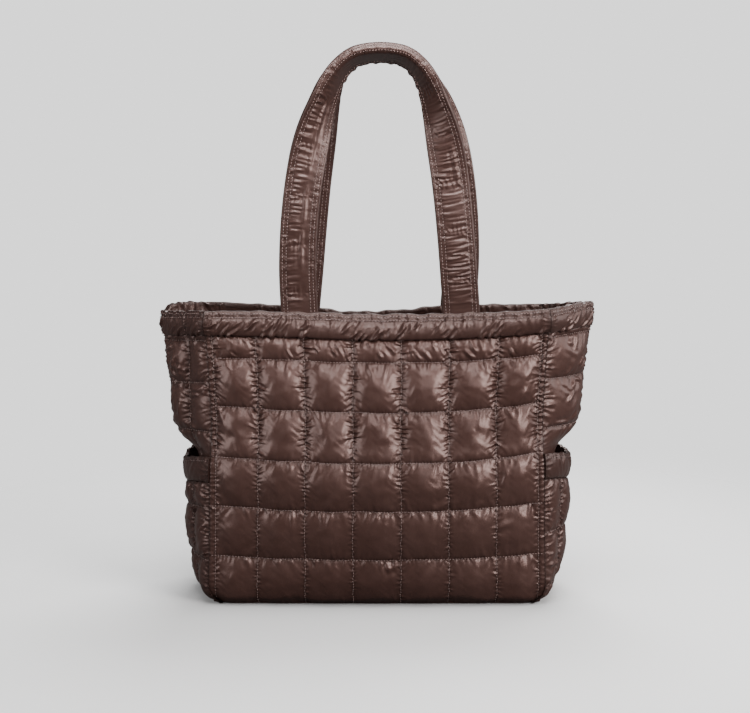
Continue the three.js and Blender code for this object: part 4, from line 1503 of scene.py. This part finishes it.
class TOTE_OT_handles(bpy.types.Operator):
    """Make the two padded handles"""

    bl_idname = "tote.handles"
    bl_label = "Handles"

    def execute(self, context):
        h = strap_sizes()
        front, back = Strap(FRONT), Strap(BACK)
        run, seed = front.length, 81
        outer_stitch, inner_stitch = 2.4 * MM, 6.2 * MM
        stitched = [outer_stitch, inner_stitch, h.width - inner_stitch, h.width - outer_stitch]
        crosses = np.arange(h.foot_depth + 20 * MM, run - h.foot_depth, h.line_pitch)
        cut = sheet_cut(
            run, h.width, crosses, stitched, seed, h.puff,
            pitch=2.05 * MM, slack=(0.16, 0.08), pressure=14.0, stiffness=25.0, bending=0.8, frames=26,
            gathers=0.25, soft=0.8,
        )
        blown = padded_sheet(cut)
        blown[..., 2] += cross_puckers(blown, h.width, seed)
        folds = np.zeros(blown.shape[:2])
        for start, level in ((0.1, 0.4), (0.17, 0.38), (0.25, 0.42), (0.31, 0.45), (0.7, 0.7)):
            crease(blown[:, 0, 0], blown[0, :, 1], folds, np.array([start * run, level * h.width]),
                   np.array([1.0, 0.0]), 21 * MM, 2.0 * MM, 0.8 * MM, sewn=False)
        blown[..., 2] += folds
        for node, strap in (("front_handle", front), ("back_handle", back)):
            make_handle(node, strap, cut, blown, stitched)
        return {"FINISHED"}


# Stage


def floor_material():
    """A pale floor that gives back little light to the bag, with a shadow painted into its colour round the
    bag's foot, and blends into the backdrop further off.
    """
    f = stage_values()
    look = Finish("floor")
    place = look.coordinates("Object")
    seen = look.node("ShaderNodeLightPath")
    distance = look.node("ShaderNodeVectorMath", {"operation": "LENGTH"}, 1, n0=place)
    fade = look.node("ShaderNodeMapRange", {"interpolation_type": "SMOOTHSTEP"}, n0=distance, n1=0.3, n2=0.9,
                     n3=0.0, n4=1.0)
    x, y = (look.node("ShaderNodeSeparateXYZ", outlet=k, vector=place) for k in (0, 1))
    foot_middle, foot_width, foot_depth = -0.006, 0.332, 0.12

    def beyond(value, half):
        past = value.math("ABSOLUTE", value) - half
        return past.math("MAXIMUM", past, 0)

    aside, before = beyond(x - foot_middle, foot_width / 2), beyond(y, foot_depth / 2)
    gap = (aside * aside + before * before) ** 0.5
    # Painted shadow: the floor's colour darkens towards black near the bag's foot.
    close = gap.math("EXPONENT", gap * (-1 / f.contact)) * f.contact_depth
    wide = gap.math("EXPONENT", gap * (-1 / f.shade_reach)) * f.shade_depth
    white, black = (1.0, 1.0, 1.0), (0.0, 0.0, 0.0)
    shade = look.blend(seen, scaled(white, 0.12), scaled(white, f.floor))
    shade = look.blend(close + wide, shade, rgba(black))
    glow = look.blend(seen, rgba(black), scaled(white, f.floor_glow))
    near = look.node("ShaderNodeBsdfPrincipled", base_color=shade, roughness=1.0, specular_ior_level=0.0,
                     emission_color=glow, emission_strength=1.0)
    clear = look.node("ShaderNodeBsdfTransparent")
    return look.output(look.node("ShaderNodeMixShader", n0=fade, n1=near, n2=clear))


def backdrop_world():
    """A plain pale backdrop behind the bag, and a dimmer room that lights it from all round."""
    f = stage_values()
    world = bpy.data.worlds.new("Backdrop")
    world.use_nodes = True
    tree = world.node_tree
    tree.nodes.clear()
    seen = Value(tree, tree.nodes.new("ShaderNodeLightPath").outputs["Is Camera Ray"])
    back = tree.nodes.new("ShaderNodeBackground")
    tree.links.new((seen * (f.backdrop - f.room) + f.room).socket, back.inputs["Strength"])
    out = tree.nodes.new("ShaderNodeOutputWorld")
    tree.links.new(back.outputs[0], out.inputs["Surface"])
    back.inputs["Color"].default_value = rgba([1, 1, 1])
    return world


def softbox(name, place, target, size, power, tint=(1, 1, 1), spread=math.pi):
    """An area light at a place, aimed at a target."""
    data = bpy.data.lights.new(name, "AREA")
    data.shape = "RECTANGLE"
    data.size, data.size_y = size
    data.energy = power
    data.color = tint
    data.spread = spread
    light = bpy.data.objects.new(name, data)
    bpy.context.scene.collection.objects.link(light)
    light.location = place
    aim = Vector(target) - Vector(place)
    light.rotation_euler = aim.to_track_quat("-Z", "Y").to_euler()


class TOTE_OT_stage(bpy.types.Operator):
    """Make the floor, the light and the camera"""

    bl_idname = "tote.stage"
    bl_label = "Stage"

    def execute(self, context):
        f = stage_values()
        data = bpy.data.cameras.new("Camera")
        data.lens = f.lens
        data.sensor_width = 36
        data.shift_x = PHOTO_SHIFT / PHOTO_WIDTH
        camera = bpy.data.objects.new("Camera", data)
        context.scene.collection.objects.link(camera)
        camera.location = (0, -f.distance, f.eye)
        camera.rotation_euler = (math.pi / 2 - f.pitch, 0, 0)
        context.scene.camera = camera
        bpy.ops.object.select_all(action="DESELECT")
        bpy.ops.mesh.primitive_circle_add(vertices=96, radius=1.6, fill_type="NGON", location=(0, 0, 0))
        floor = context.object
        floor.name = "floor"
        under_bag = -0.4 * MM
        floor.data.transform(Matrix.Translation((0, 0, under_bag)))
        floor.data.materials.append(floor_material())
        context.scene.world = backdrop_world()
        softbox("key", (1.35, -1.25, 0.95), (0, 0, 0.2), (0.85, 1.1), f.key, (1, 0.96, 0.94))
        softbox("overhead", (0.15, -0.55, 1.8), (0, 0, 0.2), (1.3, 0.75), f.top)
        softbox("back", (0.3, 0.95, 1.6), (0, 0, 0.4), (1.3, 0.7), f.back)
        softbox("front", (0.45, -2.1, 1.15), (0, 0, 0.25), (1.3, 0.8), f.front)
        softbox("strip", (0.03, -0.72, 0.98), (0, -0.03, 0.575), (0.7, 0.18), f.strip,
                spread=math.radians(50))
        softbox("side", (1.7, 0.0, 0.8), (0, 0, 0.25), (1.1, 1.1), f.side)
        softbox("fill", (-1.5, -1.0, 0.7), (0, 0, 0.25), (0.9, 1.1), f.fill)
        return {"FINISHED"}


# Panel and registration

STEPS = ["stage", "panels", "gussets", "pockets", "pocket_bands", "rim", "base", "handles"]

GROUPS = {
    "tote_body": BodySizes,
    "tote_straps": StrapSizes,
    "tote_finish": ClothFinish,
    "tote_stage": StageSetup,
}


class TOTE_PT_tote(bpy.types.Panel):
    """Lists the steps that make the tote and the values that they use"""

    bl_label = "Puffer Tote"
    bl_idname = "TOTE_PT_tote"
    bl_space_type = "VIEW_3D"
    bl_region_type = "UI"
    bl_category = "Tote"

    def draw(self, context):
        for step in STEPS:
            self.layout.operator(f"tote.{step}")
        for name in GROUPS:
            group = getattr(context.scene, name)
            box = self.layout.box()
            for key in group.__annotations__:
                box.prop(group, key)


CLASSES = [
    TOTE_OT_stage, TOTE_OT_panels, TOTE_OT_gussets, TOTE_OT_pockets, TOTE_OT_pocket_bands, TOTE_OT_rim,
    TOTE_OT_base, TOTE_OT_handles, TOTE_PT_tote,
]


def register():
    for name, group in GROUPS.items():
        bpy.utils.register_class(group)
        setattr(bpy.types.Scene, name, PointerProperty(type=group))
    for entry in CLASSES:
        bpy.utils.register_class(entry)


def unregister():
    for entry in reversed(CLASSES):
        bpy.utils.unregister_class(entry)
    for name, group in GROUPS.items():
        delattr(bpy.types.Scene, name)
        bpy.utils.unregister_class(group)


def main():
    register()
    for step in STEPS:
        getattr(bpy.ops.tote, step)()


if __name__ == "__main__":
    main()
